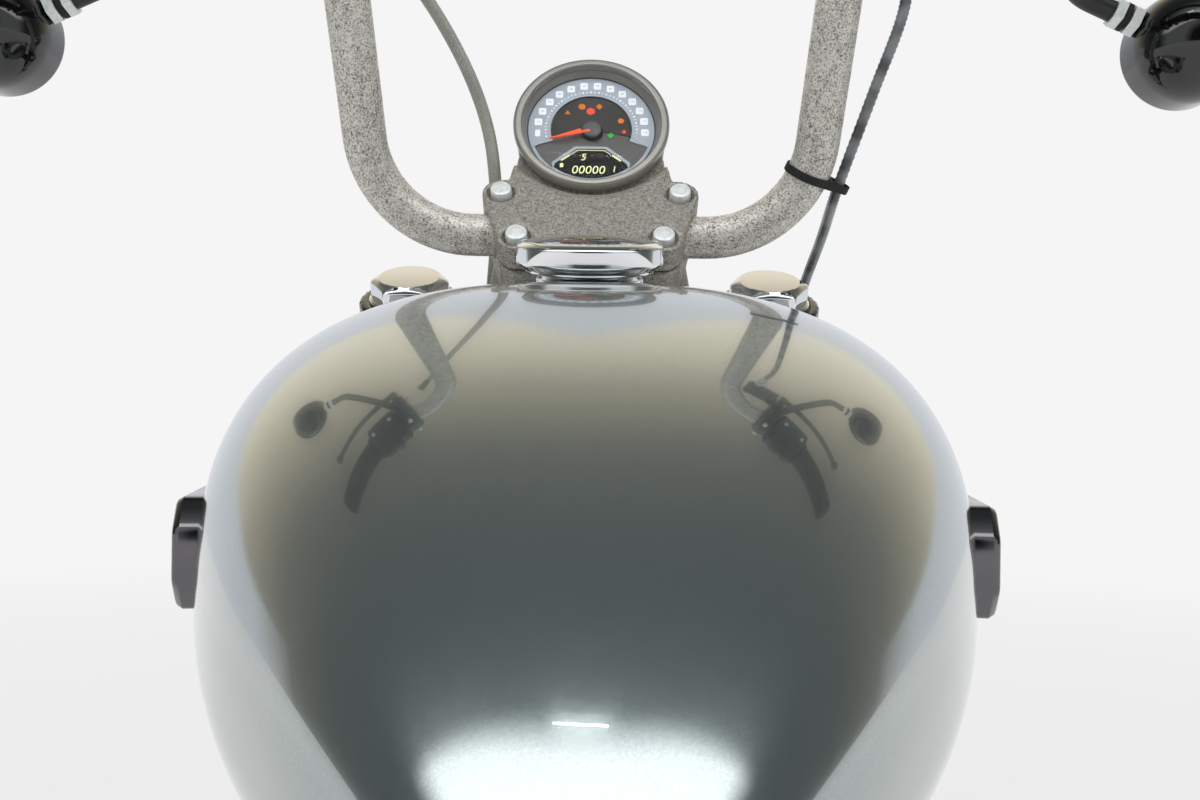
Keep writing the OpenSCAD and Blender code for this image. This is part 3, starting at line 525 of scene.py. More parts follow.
def make_finishes(look):
    """Every finish of the object, by the record's slot name or a name of its own."""
    FINISH.update(
        tank_paint=metallic_clearcoat("metallic_clearcoat_paint", look.paint, look.paint_shade),
        bar_texture=vein_coat("vein_powder_coat_bar", look.bar_light, look.bar_mid, look.bar_pit, look.bar_grain, 0.35),
        bronze_texture=vein_coat("sparkle_powder_coat_riser", "#d3cfc6", "#7f7a72", "#35322e", 0.38, 0.5),
        chrome=plated("chrome_plate", "#e6e7e9", 0.03),
        badge_chrome=plated("dark_chrome_plate", "#6a686a", 0.08),
        fork_steel=plated("hard_chromed_steel", "#c4c6c8", 0.12, 0.05),
        bearing_steel=brushed("ground_bearing_steel", "#b3b4b5", "#8f9092", 0.28),
        bezel_metal=brushed("satin_anodised_aluminium", "#a8a69f", "#8a8881", 0.3, 0.35, 0.6),
        zinc=zinc_plate("clear_zinc_plate", "#fafdfc", "#e4eae8"),
        yoke_black=gloss_black("lacquered_black_yoke", "#101013"),
        frame_black=gloss_black("black_powder_coat_frame", "#141417", 0.16),
        signal_black=gloss_black("gloss_black_signal", "#0c0c0e"),
        control_black=moulded("black_coated_controls", "#26272a", "#101113", 0.33, 0.7, 0.03),
        black_plastic=moulded("moulded_black_plastic", "#2b2c2f", "#131416", 0.45, 0.6),
        grip_rubber=moulded("moulded_grip_rubber", "#202123", "#0b0b0c", 0.72, 0.8, 0.08),
        mount_rubber=moulded("moulded_mount_rubber", "#232325", "#0e0e0f", 0.7, 1.0, 0.08),
        cable_black=moulded("extruded_cable_sheath", "#adafa5", "#8b8d84", 0.42, 1.2, 0.02),
        # the sleeve's light colour goes on partly in bands of painted rib highlight
        hose_sleeve=braided_sleeve("ribbed_hose_sleeve", "#83878a", "#383b3e", 2.6),
        signal_amber=clear_plastic("amber_acrylic_lens", "#e8780a", 0.06, 0.55),
        gauge_glass=clear_plastic("clear_gauge_acrylic", "#ffffff", 0.0, 1.0, 1.1),
        dial_face=printed("dial_ring_ink", "#b9c3cd"),
        dial_white=printed("dial_number_ink", "#f4f7fb", 0.4, 0.25),
        dial_figure=printed("dial_figure_ink", "#98a6b4"),
        dial_dark=printed("dial_charcoal_ink", "#474745", 0.5),
        dial_grey=printed("dial_lower_ink", "#6b6a68", 0.5),
        screen_black=printed("screen_black", "#0b0c0a", 0.5),
        screen_lit=printed("screen_lit_segments", "#e3e7ae", 0.4, 0.5),
        needle_red=printed("needle_ink", "#ff6038", 0.35, 0.35),
        icon_orange=printed("icon_orange_ink", "#d8762c", 0.4, 0.2),
        icon_red=printed("icon_red_ink", "#e8563f", 0.4, 0.3),
        icon_green=printed("icon_green_ink", "#3fae4c", 0.4, 0.2),
        hub_black=moulded("moulded_hub", "#3a3a3b", "#2a2a2b", 0.3, 1.0, 0.01),
    )


# Tank sections: distance back as a share of the length, half width as a share of the greatest,
# then heights of the crown, of the widest line and of the lower edge from the handlebar
TANK = [
    (0.00, 0.34, -94, -132, -165), (0.04, 0.58, -66, -130, -188), (0.10, 0.79, -47, -134, -210),
    (0.20, 0.96, -40, -143, -232), (0.33, 1.00, -46, -159, -248), (0.48, 0.94, -65, -178, -258),
    (0.63, 0.79, -93, -200, -265), (0.78, 0.57, -133, -220, -268), (0.91, 0.34, -178, -238, -268),
    (1.00, 0.15, -218, -250, -266)]
TANK_LEN, TANK_NOSE, TANK_HALF = 415, 28, 171
CROWN_POWER, BELLY_POWER = 2.55, 2.6
END_ROUND = 0.02


def tank_slope(i, column):
    a, b = max(i - 1, 0), min(i + 1, len(TANK) - 1)
    return (TANK[b][column] - TANK[a][column]) / (TANK[b][0] - TANK[a][0])


def tank_column(t, column):
    """One column of the sections at share t, as a smooth curve through the rows."""
    i = max(k for k in range(len(TANK) - 1) if TANK[k][0] <= t)
    h = TANK[i + 1][0] - TANK[i][0]
    u = (t - TANK[i][0]) / h
    a, b = TANK[i][column], TANK[i + 1][column]
    da, db = tank_slope(i, column) * h, tank_slope(i + 1, column) * h
    return a + da * u + (3 * (b - a) - 2 * da - db) * u * u + (2 * (a - b) + da + db) * u ** 3


def tank_point(t, angle, grow=1.0):
    """A point of the tank's skin, in millimetres from the bar. The ends are rounded off."""
    near = min(t, 1 - t)
    end = math.sqrt(max(0.0, 1 - (1 - near / END_ROUND) ** 2)) if near < END_ROUND else 1.0
    end = 0.25 + 0.75 * end
    half, mid = TANK_HALF * tank_column(t, 1), tank_column(t, 3)
    c, s = math.cos(angle), math.sin(angle)
    power = CROWN_POWER if s > 0 else BELLY_POWER
    height = tank_column(t, 2) - mid if s > 0 else mid - tank_column(t, 4)
    curve = [math.copysign(abs(v) ** (2 / power), v) for v in (c, s)]
    return (half * curve[0] * end * grow, -TANK_NOSE - t * TANK_LEN, mid + height * curve[1] * end * grow)


def tank_skin(rings, sides):
    verts, faces = [], []
    for i in range(rings + 1):
        t = (1 - math.cos(math.pi * i / rings)) / 2
        verts += [tank_point(t, 2 * math.pi * k / sides) for k in range(sides)]
    for i in range(rings):
        for k in range(sides):
            a, b = i * sides + k, i * sides + (k + 1) % sides
            faces.append([a, a + sides, b + sides, b])
    faces.append(list(range(sides)))
    faces.append([rings * sides + k for k in range(sides - 1, -1, -1)])
    return verts, faces


class BobberLook(bpy.types.PropertyGroup):
    """Colours and pattern sizes of the main finishes."""
    paint: bpy.props.StringProperty(name="Paint", description="Tank paint in full light", default="#9ea8a7")
    paint_shade: bpy.props.StringProperty(name="Paint shade", description="Tank paint between flakes", default="#848e8d")
    bar_light: bpy.props.StringProperty(name="Bar light", description="Bar coat where it shines", default="#ece9e1")
    bar_mid: bpy.props.StringProperty(name="Bar coat", description="Bar coat", default="#c3bfb6")
    bar_pit: bpy.props.StringProperty(name="Bar pits", description="Bar coat in its pits", default="#66625b")
    bar_grain: bpy.props.FloatProperty(
        name="Bar grain", description="Spacing of the bar coat's pits in mm", default=1.1, min=0.4, max=4)


class BobberSizes(bpy.types.PropertyGroup):
    """Sizes of the visible detail."""
    tank_rings: bpy.props.IntProperty(name="Tank rings", description="Sections of the tank skin", default=170, min=40, max=240)
    tank_sides: bpy.props.IntProperty(name="Tank sides", description="Points round a section", default=240, min=48, max=320)
    grip_rib: bpy.props.FloatProperty(
        name="Grip rib", description="Spacing of the grip's ribs", default=5 * MM, unit="LENGTH", subtype="DISTANCE")
    sleeve_rib: bpy.props.FloatProperty(
        name="Sleeve rib", description="Spacing of the hose sleeve's ribs", default=2.5 * MM, unit="LENGTH",
        subtype="DISTANCE")


class BobberStage(bpy.types.PropertyGroup):
    """Floor, backdrop and light."""
    drop: bpy.props.FloatProperty(
        name="Floor below", description="Floor below the lowest point", default=0.12, unit="LENGTH", subtype="DISTANCE")
    backdrop: bpy.props.StringProperty(name="Backdrop", description="Colour of floor and backdrop", default="#f5f5f5")
    level: bpy.props.FloatProperty(name="Light level", description="Share of full light on the object", default=1.0, min=0.2, max=2)


def cutter(name, shape):
    mesh = bpy.data.meshes.new(name)
    mesh.from_pydata([tuple(v) for v in shape.verts], [], shape.faces)
    work = bmesh.new()
    work.from_mesh(mesh)
    bmesh.ops.recalc_face_normals(work, faces=work.faces)
    work.to_mesh(mesh)
    work.free()
    obj = bpy.data.objects.new(name, mesh)
    bpy.context.scene.collection.objects.link(obj)
    return obj


class BOBBER_OT_tank(bpy.types.Operator):
    """Painted tank shell with its recesses and seam"""
    bl_idname = "bobber.tank"
    bl_label = "Tank"

    def execute(self, context):
        sizes = context.scene.bobber_sizes
        skin = cutter("tank_skin", Shape().add(tank_skin(sizes.tank_rings, sizes.tank_sides), AT_BAR))
        tree = KDTree(len(skin.data.vertices))
        for v in skin.data.vertices:
            tree.insert(v.co, v.index)
        tree.balance()
        normals = [v.normal.copy() for v in skin.data.vertices]
        tunnel = self.tunnel_place()
        cuts = [
            Shape().add(revolved([(0, -60), (34, -60), (34, 700), (0, 700)], 96), tunnel),
            Shape().add(prism([(-34, -400), (34, -400), (34, 0), (-34, 0)], -61, 701), tunnel),
            Shape().add(revolved([(0, -34), (28.6, -34), (28.6, 30), (0, 30)], 128), AT_CAP)]
        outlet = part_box("fuel_outlet")
        centre = Vector(((outlet[1].x + outlet[0].x) / 2, (outlet[1].y + outlet[0].y) / 2, outlet[1].z))
        spread = (outlet[1].y - outlet[0].y) / 2 / MM
        centre.x = outlet[1].x - spread * MM
        cuts.append(Shape().add(revolved([(0, -60), (spread + 2, -60), (spread + 2, 0), (0, 0)], 64),
                                Matrix.Translation(centre)))
        tools = [cutter("cut_%d" % i, cut) for i, cut in enumerate(cuts)]
        for tool in tools:
            cut = skin.modifiers.new(tool.name, "BOOLEAN")
            cut.operation, cut.object, cut.solver = "DIFFERENCE", tool, "MANIFOLD"
        mesh = applied(skin)
        for tool in tools:
            bpy.data.objects.remove(tool)
        mesh.materials.clear()
        mesh.materials.append(FINISH["tank_paint"])
        if len(mesh.polygons) < 1000:
            raise RuntimeError("the tank's recesses could not be cut")
        obj = mesh_piece("tank_shell", "frame", mesh, ["fuel_tank"], crease=30)
        self.even_shading(obj.data, tree, normals)
        self.seam()
        return {"FINISHED"}

    @staticmethod
    def tunnel_place():
        """Datum along the backbone: z up the tube, y upright."""
        front = AT_STEER @ Vector((0, 0, (-52 - 24 - 2 - 170 + 170 * 0.56) * MM))
        z = front.normalized()
        x = Vector((0, 0, 1)).cross(z).normalized()
        return Matrix((x, z.cross(x), z)).transposed().to_4x4()

    @staticmethod
    def even_shading(mesh, tree, normals):
        """Gives the cut skin the normals of the uncut one, so that reflections run clean up to each recess."""
        corner = [n.vector.copy() for n in mesh.corner_normals]
        for face in mesh.polygons:
            on_skin = all(tree.find(mesh.vertices[v].co)[2] < 0.004 for v in face.vertices)
            if not on_skin:
                continue
            near = [normals[tree.find(mesh.vertices[v].co)[1]] for v in face.vertices]
            if all(face.normal.dot(n) > 0.93 for n in near):
                for loop, n in zip(face.loop_indices, near):
                    corner[loop] = n
        mesh.normals_split_custom_set(corner)

    @staticmethod
    def seam():
        """The pinched weld seam that joins the tank's sides to its floor."""
        shape = Shape()
        for side in (0, 180):
            angle = -58 if side == 0 else -122
            path = [tank_point(0.03 + 0.94 * k / 90, math.radians(angle), 1.004) for k in range(91)]
            shape.add(swept(path, 2.0, 10, 1.0, Vector((0, 0, 1))), AT_BAR)
        piece("tank_seam", "frame", shape, FINISH["tank_paint"])


class BOBBER_OT_badges(bpy.types.Operator):
    """Bare stepped medallions on the tank's sides"""
    bl_idname = "bobber.badges"
    bl_label = "Badges"

    SHARE, LONG, HIGH, PROUD = 0.355, 92, 48, 10

    def execute(self, context):
        half = TANK_HALF * tank_column(self.SHARE, 1)
        rear_half = TANK_HALF * tank_column(self.SHARE + self.LONG / 2 / TANK_LEN, 1)
        turn = math.degrees(math.atan2(half - rear_half, self.LONG / 2))
        place = AT_BAR @ shift(half, -TANK_NOSE - self.SHARE * TANK_LEN, tank_column(self.SHARE, 3) - 4) @ lean(-turn, "Z")
        for side, name in ((-1, "left"), (1, "right")):
            shape = Shape().add(self.medallion(), (MIRROR if side < 0 else Matrix.Identity(4)) @ place)
            piece("badge_" + name, "frame", shape, FINISH["badge_chrome"], ["tank_badge_" + name])
        return {"FINISHED"}

    def medallion(self):
        """Stepped rim round a bare, slightly domed field."""
        steps = [(0, -14), (0, self.PROUD - 3.2), (1.4, self.PROUD - 0.8), (2.8, self.PROUD), (5.6, self.PROUD),
                 (6.8, self.PROUD - 1.6), (14, self.PROUD - 1.1), (21, self.PROUD - 0.9)]
        verts, faces, rings = [], [], []
        for inset, x in steps:
            outline = self.outline(self.LONG - 2 * inset, self.HIGH - 2 * inset)
            rings.append(range(len(verts), len(verts) + len(outline)))
            verts += [(x, y, z) for y, z in outline]
        for a, b in zip(rings, rings[1:]):
            for k in range(len(a)):
                n = (k + 1) % len(a)
                faces.append([a[k], a[n], b[n], b[k]])
        faces.append(list(reversed(rings[0])))
        faces.append(list(rings[-1]))
        return verts, faces

    @staticmethod
    def outline(length, height):
        """A long medallion with cut-off corners, each corner eased."""
        end = min(14.0, length * 0.12)
        raw = [(-length / 2, -height / 4), (-length / 2 + end, -height / 2), (length / 2 - end, -height / 2),
               (length / 2, -height / 4), (length / 2, height / 4), (length / 2 - end, height / 2),
               (-length / 2 + end, height / 2), (-length / 2, height / 4)]
        out = []
        for i, corner in enumerate(raw):
            b, c, a = Vector(raw[i - 1]), Vector(corner), Vector(raw[(i + 1) % len(raw)])
            start, end_point = c + (b - c).normalized() * 2.4, c + (a - c).normalized() * 2.4
            for k in range(4):
                t = k / 3
                out.append(tuple(start * (1 - t) ** 2 + c * 2 * t * (1 - t) + end_point * t * t))
        return out


class BOBBER_OT_cap(bpy.types.Operator):
    """Chromed twist-off fuel cap and the neck ring that it seats on"""
    bl_idname = "bobber.cap"
    bl_label = "Fuel cap"

    def execute(self, context):
        dome = [(36.4 * (1 - k / 16), 17.1 + 3.3 * (1 - (1 - k / 16) ** 2)) for k in range(17)]
        skirt = softened([(0, -12), (23.2, -12), (23.4, 0.35), (31.8, 0.35), (33.8, 1.2), (34.0, 2.6), (35.6, 3.0),
                          (38.9, 5.8), (38.9, 15.0), (36.4, 17.1)], 1.1)
        cap = skirt + dome[1:]
        piece("cap", "fuel_cap", Shape().add(revolved(cap, 160), AT_CAP), FINISH["chrome"], ["fuel_cap"])
        neck = softened([(24.0, -34), (24.0, -0.8), (24.8, 0.0), (27.0, 0.0), (28.5, -2.0), (28.5, -34),
                         (24.0, -34)], 0.6)
        piece("neck_ring", "frame", Shape().add(revolved(neck, 128), AT_CAP), FINISH["chrome"],
              ["filler_neck"])
        return {"FINISHED"}


class BOBBER_OT_fork(bpy.types.Operator):
    """Yokes, fork tubes and chromed fork caps"""
    bl_idname = "bobber.fork"
    bl_label = "Fork"

    YOKE_TOP, SPACING, OFFSET, TUBE_D, TUBE_LEN = -52, 230, 36, 49, 560

    def execute(self, context):
        for node in ("upper_yoke", "lower_yoke"):
            cast_copy(node + "_forging", "steering", node, FINISH["yoke_black"], 1.6, 7)
        for side, name in ((-1, "left"), (1, "right")):
            place = AT_STEER @ shift(side * self.SPACING / 2, self.OFFSET, self.YOKE_TOP)
            r = self.TUBE_D / 2
            tube = softened([(r - 3, -self.TUBE_LEN), (r - 3, -18), (r - 2, 0), (r, 0), (r, -self.TUBE_LEN),
                             (r - 3, -self.TUBE_LEN)], 0.6)
            piece("tube_" + name, "steering", Shape().add(revolved(tube, 128), place), FINISH["fork_steel"],
                  ["fork_tube_" + name])
            piece("fork_bolt_" + name, "steering", self.cap_bolt(place), FINISH["chrome"],
                  ["fork_cap_" + name])
        return {"FINISHED"}

    def cap_bolt(self, place):
        """A flanged hexagon that turns into a flat polished disc."""
        shape = Shape()
        flange = softened([(0, -16), (21.3, -16), (21.3, 0.2), (26.4, 0.2), (26.4, 1.3), (25.2, 2.3), (20, 2.4),
                           (0, 2.4)], 0.6)
        shape.add(revolved(flange, 96), place)
        count, verts, faces = 96, [], []
        apothem, disc = 22.5, 19.5
        levels = [(1.6, 1.0), (11.2, 1.0), (12.4, 0.86), (13.6, 0.5), (14.6, 0.12), (15.0, 0.0), (15.1, -0.4)]
        for z, hexness in levels:
            for k in range(count):
                a = 360 * k / count
                to_flat = (a + 30) % 60 - 30
                hexagon = min(apothem / cosd(to_flat), 25.2)
                r = disc + (hexagon - disc) * max(hexness, 0) + min(hexness, 0) * 3
                verts.append((r * cosd(a + 30), r * sind(a + 30), z))
        for ring in range(len(levels) - 1):
            for k in range(count):
                a, b = ring * count + k, ring * count + (k + 1) % count
                faces.append([a, b, b + count, a + count])
        faces.append(list(range(count - 1, -1, -1)))
        faces.append([(len(levels) - 1) * count + k for k in range(count)])
        shape.add((verts, faces), place)
        return shape


class BOBBER_OT_riser(bpy.types.Operator):
    """Cast riser, the clamp that flows into the gauge pod, and its zinc-plated bolts"""
    bl_idname = "bobber.riser"
    bl_label = "Riser"

    def execute(self, context):
        cast_copy("riser_casting", "steering", "riser", FINISH["bronze_texture"], 1.15, 8)
        # the plate dips round the gauge, so that its bezel stands clear
        dip = [(0, -7.9), (51.5, -7.9), (54.5, -6.6), (57.0, -3.6), (59.5, 2), (62.5, 9), (70.0, 16), (95.0, 30),
               (95.0, 40), (0, 40)]
        scoop = cutter("scoop", Shape().add(revolved(dip, 128), AT_GAUGE))
        cast_copy("clamp_casting", "steering", "riser_clamp", FINISH["bronze_texture"], 1.1, 8,
                  scoop)
        shape = Shape()
        seat = 13.1
        for side in (-1, 1):
            for x, y in ((54, 19), (43, -19)):
                place = AT_CLAMP @ shift(side * x, y, seat)
                shape.add(self.bolt(8, 12.8, 8.0), place)
        piece("clamp_screws", "steering", shape, FINISH["zinc"], ["clamp_bolts"])
        return {"FINISHED"}

    @staticmethod
    def bolt(shank, head, height):
        """A socket-head bolt with an eased rim, its hexagon filled by a pressed-in plug."""
        count = 72
        profile = [(shank / 2, -29), (shank / 2, 0.0), (head / 2 - 0.4, 0.0), (head / 2, 0.5),
                   (head / 2, height - 1.4), (head / 2 - 0.35, height - 0.5), (head / 2 - 1.2, height)]
        verts, faces = [], []
        levels = [(r, z, 0) for r, z in profile] + [(head * 0.29, height, 1), (head * 0.27, height - 0.3, 1),
                                                    (head * 0.25, height - 0.5, 1)]
        for r, z, hexagon in levels:
            for k in range(count):
                a = 360 * k / count
                reach = r / cosd((a + 30) % 60 - 30) if hexagon else r
                verts.append((reach * cosd(a), reach * sind(a), z))
        for ring in range(len(levels) - 1):
            for k in range(count):
                a, b = ring * count + k, ring * count + (k + 1) % count
                faces.append([a, b, b + count, a + count])
        faces.append(list(range(count - 1, -1, -1)))
        faces.append([(len(levels) - 1) * count + k for k in range(count)])
        return verts, faces


class BOBBER_OT_gauge(bpy.types.Operator):
    """Round gauge: bezel, glass, dial ring with numbers, hub, needle and small screen"""
    bl_idname = "bobber.gauge"
    bl_label = "Gauge"

    def execute(self, context):
        self.dial_z = self.height_of("gauge_dial")
        self.bezel()
        self.dial()
        self.figures()
        self.screen()
        self.pointer()
        return {"FINISHED"}

    @staticmethod
    def height_of(node):
        """Top of a node above the gauge's datum, in millimetres."""
        back = AT_GAUGE.inverted()
        return max((back @ v.co).z for v in NODES[node].data.vertices) / MM

    def bezel(self):
        profile = softened([(44.1, -5.2), (44.1, -1.2), (44.5, -0.4), (45.2, -0.05), (47.9, -0.05), (49.2, -0.7),
                            (49.95, -2.4), (50.0, -5.4), (49.6, -6.3), (48.4, -6.7), (48.4, -7.2), (49.4, -7.6),
                            (49.2, -7.9), (45.8, -7.9), (45.8, -5.2), (44.1, -5.2)], 0.5)
        piece("bezel", "steering", Shape().add(revolved(profile, 192), AT_GAUGE), FINISH["bezel_metal"],
              ["gauge_bezel"])
        glass = [(0, -1.2), (30, -1.3), (43.9, -1.9), (43.9, -2.6), (0, -2.6)]
        piece("glass", "steering", Shape().add(revolved(glass, 128), AT_GAUGE), FINISH["gauge_glass"],
              ["gauge_glass"])
        inner = softened([(43.9, -5.3), (41.2, self.dial_z + 0.3), (45.2, self.dial_z + 0.3), (45.2, -5.3),
                          (43.9, -5.3)], 0.3)
        piece("inner_rim", "steering", Shape().add(revolved(inner, 160), AT_GAUGE), FINISH["bezel_metal"])

    def dial(self):
        z = self.dial_z
        shape = Shape()
        shape.add(revolved([(0, -1.5), (43.4, -1.5), (43.4, -0.7), (0, -0.7)], 160), AT_GAUGE @ shift(0, 0, z), 0)
        shape.add(self.sector(26.0, 40.6, -20, 200, 0.0), AT_GAUGE @ shift(0, 0, z), 1)
        shape.add(self.sector(38.6, 40.6, 200, 340, 0.0), AT_GAUGE @ shift(0, 0, z), 1)
        shape.add(self.sector(0, 25.6, -12, 192, -0.35), AT_GAUGE @ shift(0, 0, z), 2)
        rim = softened([(25.5, -0.5), (25.5, 0.35), (26.2, 0.35), (26.2, -0.5)], 0.2)
        shape.add(self.arc_rail(rim, -14, 194), AT_GAUGE @ shift(0, 0, z), 3)
        for side in (-1, 1):
            a, b = self.polar(26.5, 90 + side * 102.5), self.polar(38.8, 90 + side * 110.5)
            shape.add(self.strip(a, b, 0.7, 0.25), AT_GAUGE @ shift(0, 0, z), 1)
        piece("dial_plate", "steering", shape,
              [FINISH["dial_grey"], FINISH["dial_face"], FINISH["dial_dark"], FINISH["hub_black"]],
              ["gauge_dial"])

    @staticmethod
    def polar(r, a):
        return (r * cosd(a), r * sind(a))

    def sector(self, inner, outer, start, end, z):
        """A flat raised arc of a ring."""
        steps = max(8, int((end - start) / 2.5))
        verts, faces = [], []
        for k in range(steps + 1):
            a = start + (end - start) * k / steps
            for r, h in ((inner, z - 0.5), (outer, z - 0.5), (outer, z), (inner, z)):
                verts.append((*self.polar(max(r, 0.05), a), h))
        for k in range(steps):
            for m in range(4):
                a, b = 4 * k + m, 4 * k + (m + 1) % 4
                faces.append([a, b, b + 4, a + 4])
        faces += [[3, 2, 1, 0], [4 * steps + m for m in range(4)]]
        return verts, faces

    def arc_rail(self, profile, start, end):
        steps = 90
        verts, faces, n = [], [], len(profile)
        for k in range(steps + 1):
            a = start + (end - start) * k / steps
            verts += [(*self.polar(r, a), h) for r, h in profile]
        for k in range(steps):
            for m in range(n):
                a, b = n * k + m, n * k + (m + 1) % n
                faces.append([a, b, b + n, a + n])
        faces += [list(range(n - 1, -1, -1)), [n * steps + m for m in range(n)]]
        return verts, faces

    @staticmethod
    def strip(a, b, width, high):
        """A thin bar from a to b on the dial."""
        a, b = Vector(a), Vector(b)
        across = Vector((-(b - a).y, (b - a).x)).normalized() * width / 2
        outline = [tuple(a - across), tuple(b - across), tuple(b + across), tuple(a + across)]
        return prism(outline, -0.4, high)

    def figures(self):
        """Rounded number patches round the ring, dots inside them, and the numbers themselves."""
        z = self.dial_z
        patches, numbers = Shape(), Shape()
        first, step = -3.5, 14.55
        for i in range(14):
            angle = first + step * i
            x, y = self.polar(34.6, angle)
            wide = 4.9 if i < 13 else 3.2
            place = AT_GAUGE @ shift(x, y, z)
            patches.add(prism(rounded_box(wide, 5.2, 0.9), -0.2, 0.12, 0.05), place)
            value = (13 - i) * 10
            if value:
                self.add_text(numbers, str(value), 2.3, place @ shift(0, 0, 0.12))
        for i in range(40):
            angle = first - 1 + (196 / 39) * i
            x, y = self.polar(29.4, angle)
            size = 0.62 if i % 2 else 0.38
            patches.add(prism(regular(12, size), -0.2, 0.12), AT_GAUGE @ shift(x, y, z))
        for i in range(30):
            angle = 236 + 68 * i / 29
            x, y = self.polar(39.5, angle)
            size = (0.9, 1.5) if i % 3 else (1.2, 1.5)
            patches.add(prism(rounded_box(*size, 0.3), -0.2, 0.1), AT_GAUGE @ shift(x, y, z) @ lean(angle - 90, "Z"))
        piece("dial_patches", "steering", patches, FINISH["dial_white"])
        piece("dial_numbers", "steering", numbers, FINISH["dial_figure"])
        icons = Shape()
        marks = [(0, 3, (-15.5, 13.1), 2.1), (0, 16, (-6.2, 18.0), 2.3), (1, 6, (-0.5, 14.4), 3.0),
                 (0, 4, (5.1, 18.2), 2.3), (0, 5, (19.1, 7.0), 2.3), (1, 3, (21.1, -1.5), 2.0), (2, 4, (12.5, -4.5), 2.4)]
        for mark, sides, (x, y), r in marks:
            icons.add(prism(regular(sides, r, 90), -0.6, -0.2), AT_GAUGE @ shift(x, y, z), mark)
        piece("dial_icons", "steering", icons, [FINISH["icon_orange"], FINISH["icon_red"], FINISH["icon_green"]])

    @staticmethod
    def add_text(shape, text, size, place, slant=0.0):
        curve = bpy.data.curves.new("figure", "FONT")
        curve.body, curve.size, curve.shear = text, size, slant
        curve.align_x, curve.align_y, curve.extrude = "CENTER", "CENTER", 0.04
        curve.resolution_u = 3
        obj = bpy.data.objects.new("figure", curve)
        bpy.context.scene.collection.objects.link(obj)
        mesh = bpy.data.meshes.new_from_object(obj.evaluated_get(bpy.context.evaluated_depsgraph_get()))
        shape.add(([tuple(v.co) for v in mesh.vertices], [list(p.vertices) for p in mesh.polygons]), place)
        bpy.data.objects.remove(obj)

    def screen(self):
        z = self.dial_z
        shape = Shape()
        place = AT_GAUGE @ shift(0, 0, z)
        bottom = [self.polar(38.4, a) for a in range(231, 310, 6)]
        outer = [(-10.2, -13.4), (-25.0, -25.6)] + bottom + [(25.0, -25.6), (10.2, -13.4)]
        inner = [(-9.0, -15.2), (-22.6, -26.4)] + [self.polar(37.6, a) for a in range(231, 310, 6)] + [
            (22.6, -26.4), (9.0, -15.2)]
        shape.add(prism(list(reversed(outer)), -0.5, -0.1), place, 2)
        shape.add(prism(list(reversed(inner)), -0.4, 0.02), place, 0)
        lit = self.strip((-8.4, -16.4), (8.4, -16.4), 0.5, 0.1)
        shape.add(lit, place, 1)
        for side in (-1, 1):
            shape.add(self.strip((side * 8.4, -16.4), (side * 12.4, -19.4), 0.5, 0.1), place, 1)
            shape.add(self.strip((side * 13.4, -20.0), (side * 19.0, -24.4), 1.1, 0.1), place, 1)
        digits = Shape()
        self.add_text(digits, "5", 7.2, place @ shift(-5.0, -21.9, 0.1), 0.2)
        self.add_text(digits, "00000", 8.6, place @ shift(-1.8, -31.6, 0.1), 0.15)
        self.add_text(digits, "1", 6.4, place @ shift(14.6, -30.8, 0.1), 0.15)
        shape.add(prism(rounded_box(2.2, 3.0, 0.4), -0.2, 0.1), place @ shift(-18.6, -28.0, 0), 1)
        piece("screen", "steering", shape, [FINISH["screen_black"], FINISH["screen_lit"], FINISH["dial_face"]])
        piece("screen_digits", "steering", digits, FINISH["screen_lit"])

    def pointer(self):
        z = self.dial_z
        shape = Shape()
        hub = softened([(0, -0.6), (7.2, -0.6), (7.2, 1.0), (6.6, 2.7), (5.2, 3.1), (0, 3.2)], 0.6)
        place = AT_GAUGE @ shift(0.4, -1.5, z)
        shape.add(revolved(hub, 64), place, 0)
        turn = place @ lean(196, "Z")
        for start, offset, reach in ((1.5, 1.0, 28.0), (6.8, -1.3, 27.0)):
            blade = [(start, offset - 0.75), (reach, -0.35), (reach, 0.35), (start, offset + 0.75)]
            shape.add(prism(blade, 2.2, 3.3 if start < 2 else 2.9, 0.1), turn, 1)
        piece("needle", "steering", shape, [FINISH["hub_black"], FINISH["needle_red"]],
              ["gauge_needle"])


class BOBBER_OT_bar(bpy.types.Operator):
    """Bent handlebar in vein powder coat, with ribbed rubber grips"""
    bl_idname = "bobber.bar"
    bl_label = "Handlebar"

    def execute(self, context):
        lower = Vector((BAR_CORNER, 0, 0))
        right = [p for p in bend(-other_side(lower), lower, UPPER_CORNER, BEND_R)]
        right += bend(lower, UPPER_CORNER, BAR_END, TOP_BEND_R)
        right += [BAR_END]
        path = [Vector((-p.x, p.y, p.z)) for p in reversed(right)] + right
        piece("bar", "steering", Shape().add(swept(path, BAR_D / 2, 64), AT_BAR), FINISH["bar_texture"],
              ["handlebar"], crease=50)
        rib = context.scene.bobber_sizes.grip_rib / MM
        for side, name in ((-1, "left"), (1, "right")):
            piece("rubber_" + name, "steering", Shape().add(self.grip(rib), on_bar(side, GRIP_LEN)),
                  FINISH["grip_rubber"], ["grip_" + name], crease=40)
        return {"FINISHED"}

    @staticmethod
    def grip(rib):
        """Flange, ribbed barrel, and a domed end plug."""
        r = GRIP_D / 2
        profile = [(BAR_D / 2 + 0.2, 0.3), (r + 3.4, 0.3), (r + 4, 1.2), (r + 4, 3.8), (r + 3.2, 4.8), (r - 0.6, 5.6)]
        z = 8.0
        while z + rib < GRIP_LEN - 6:
            profile += [(r - 1.0, z), (r - 0.1, z + 0.7), (r, z + rib * 0.4), (r - 0.1, z + rib - 1.2), (r - 1.0, z + rib - 0.6)]
            z += rib
        profile += [(r, GRIP_LEN - 4), (r + 0.8, GRIP_LEN), (r - 1.2, GRIP_LEN + 3.4), (r - 5, GRIP_LEN + 4.8),
                    (0, GRIP_LEN + 5)]
        return revolved([(0, 0.3)] + profile, 96)


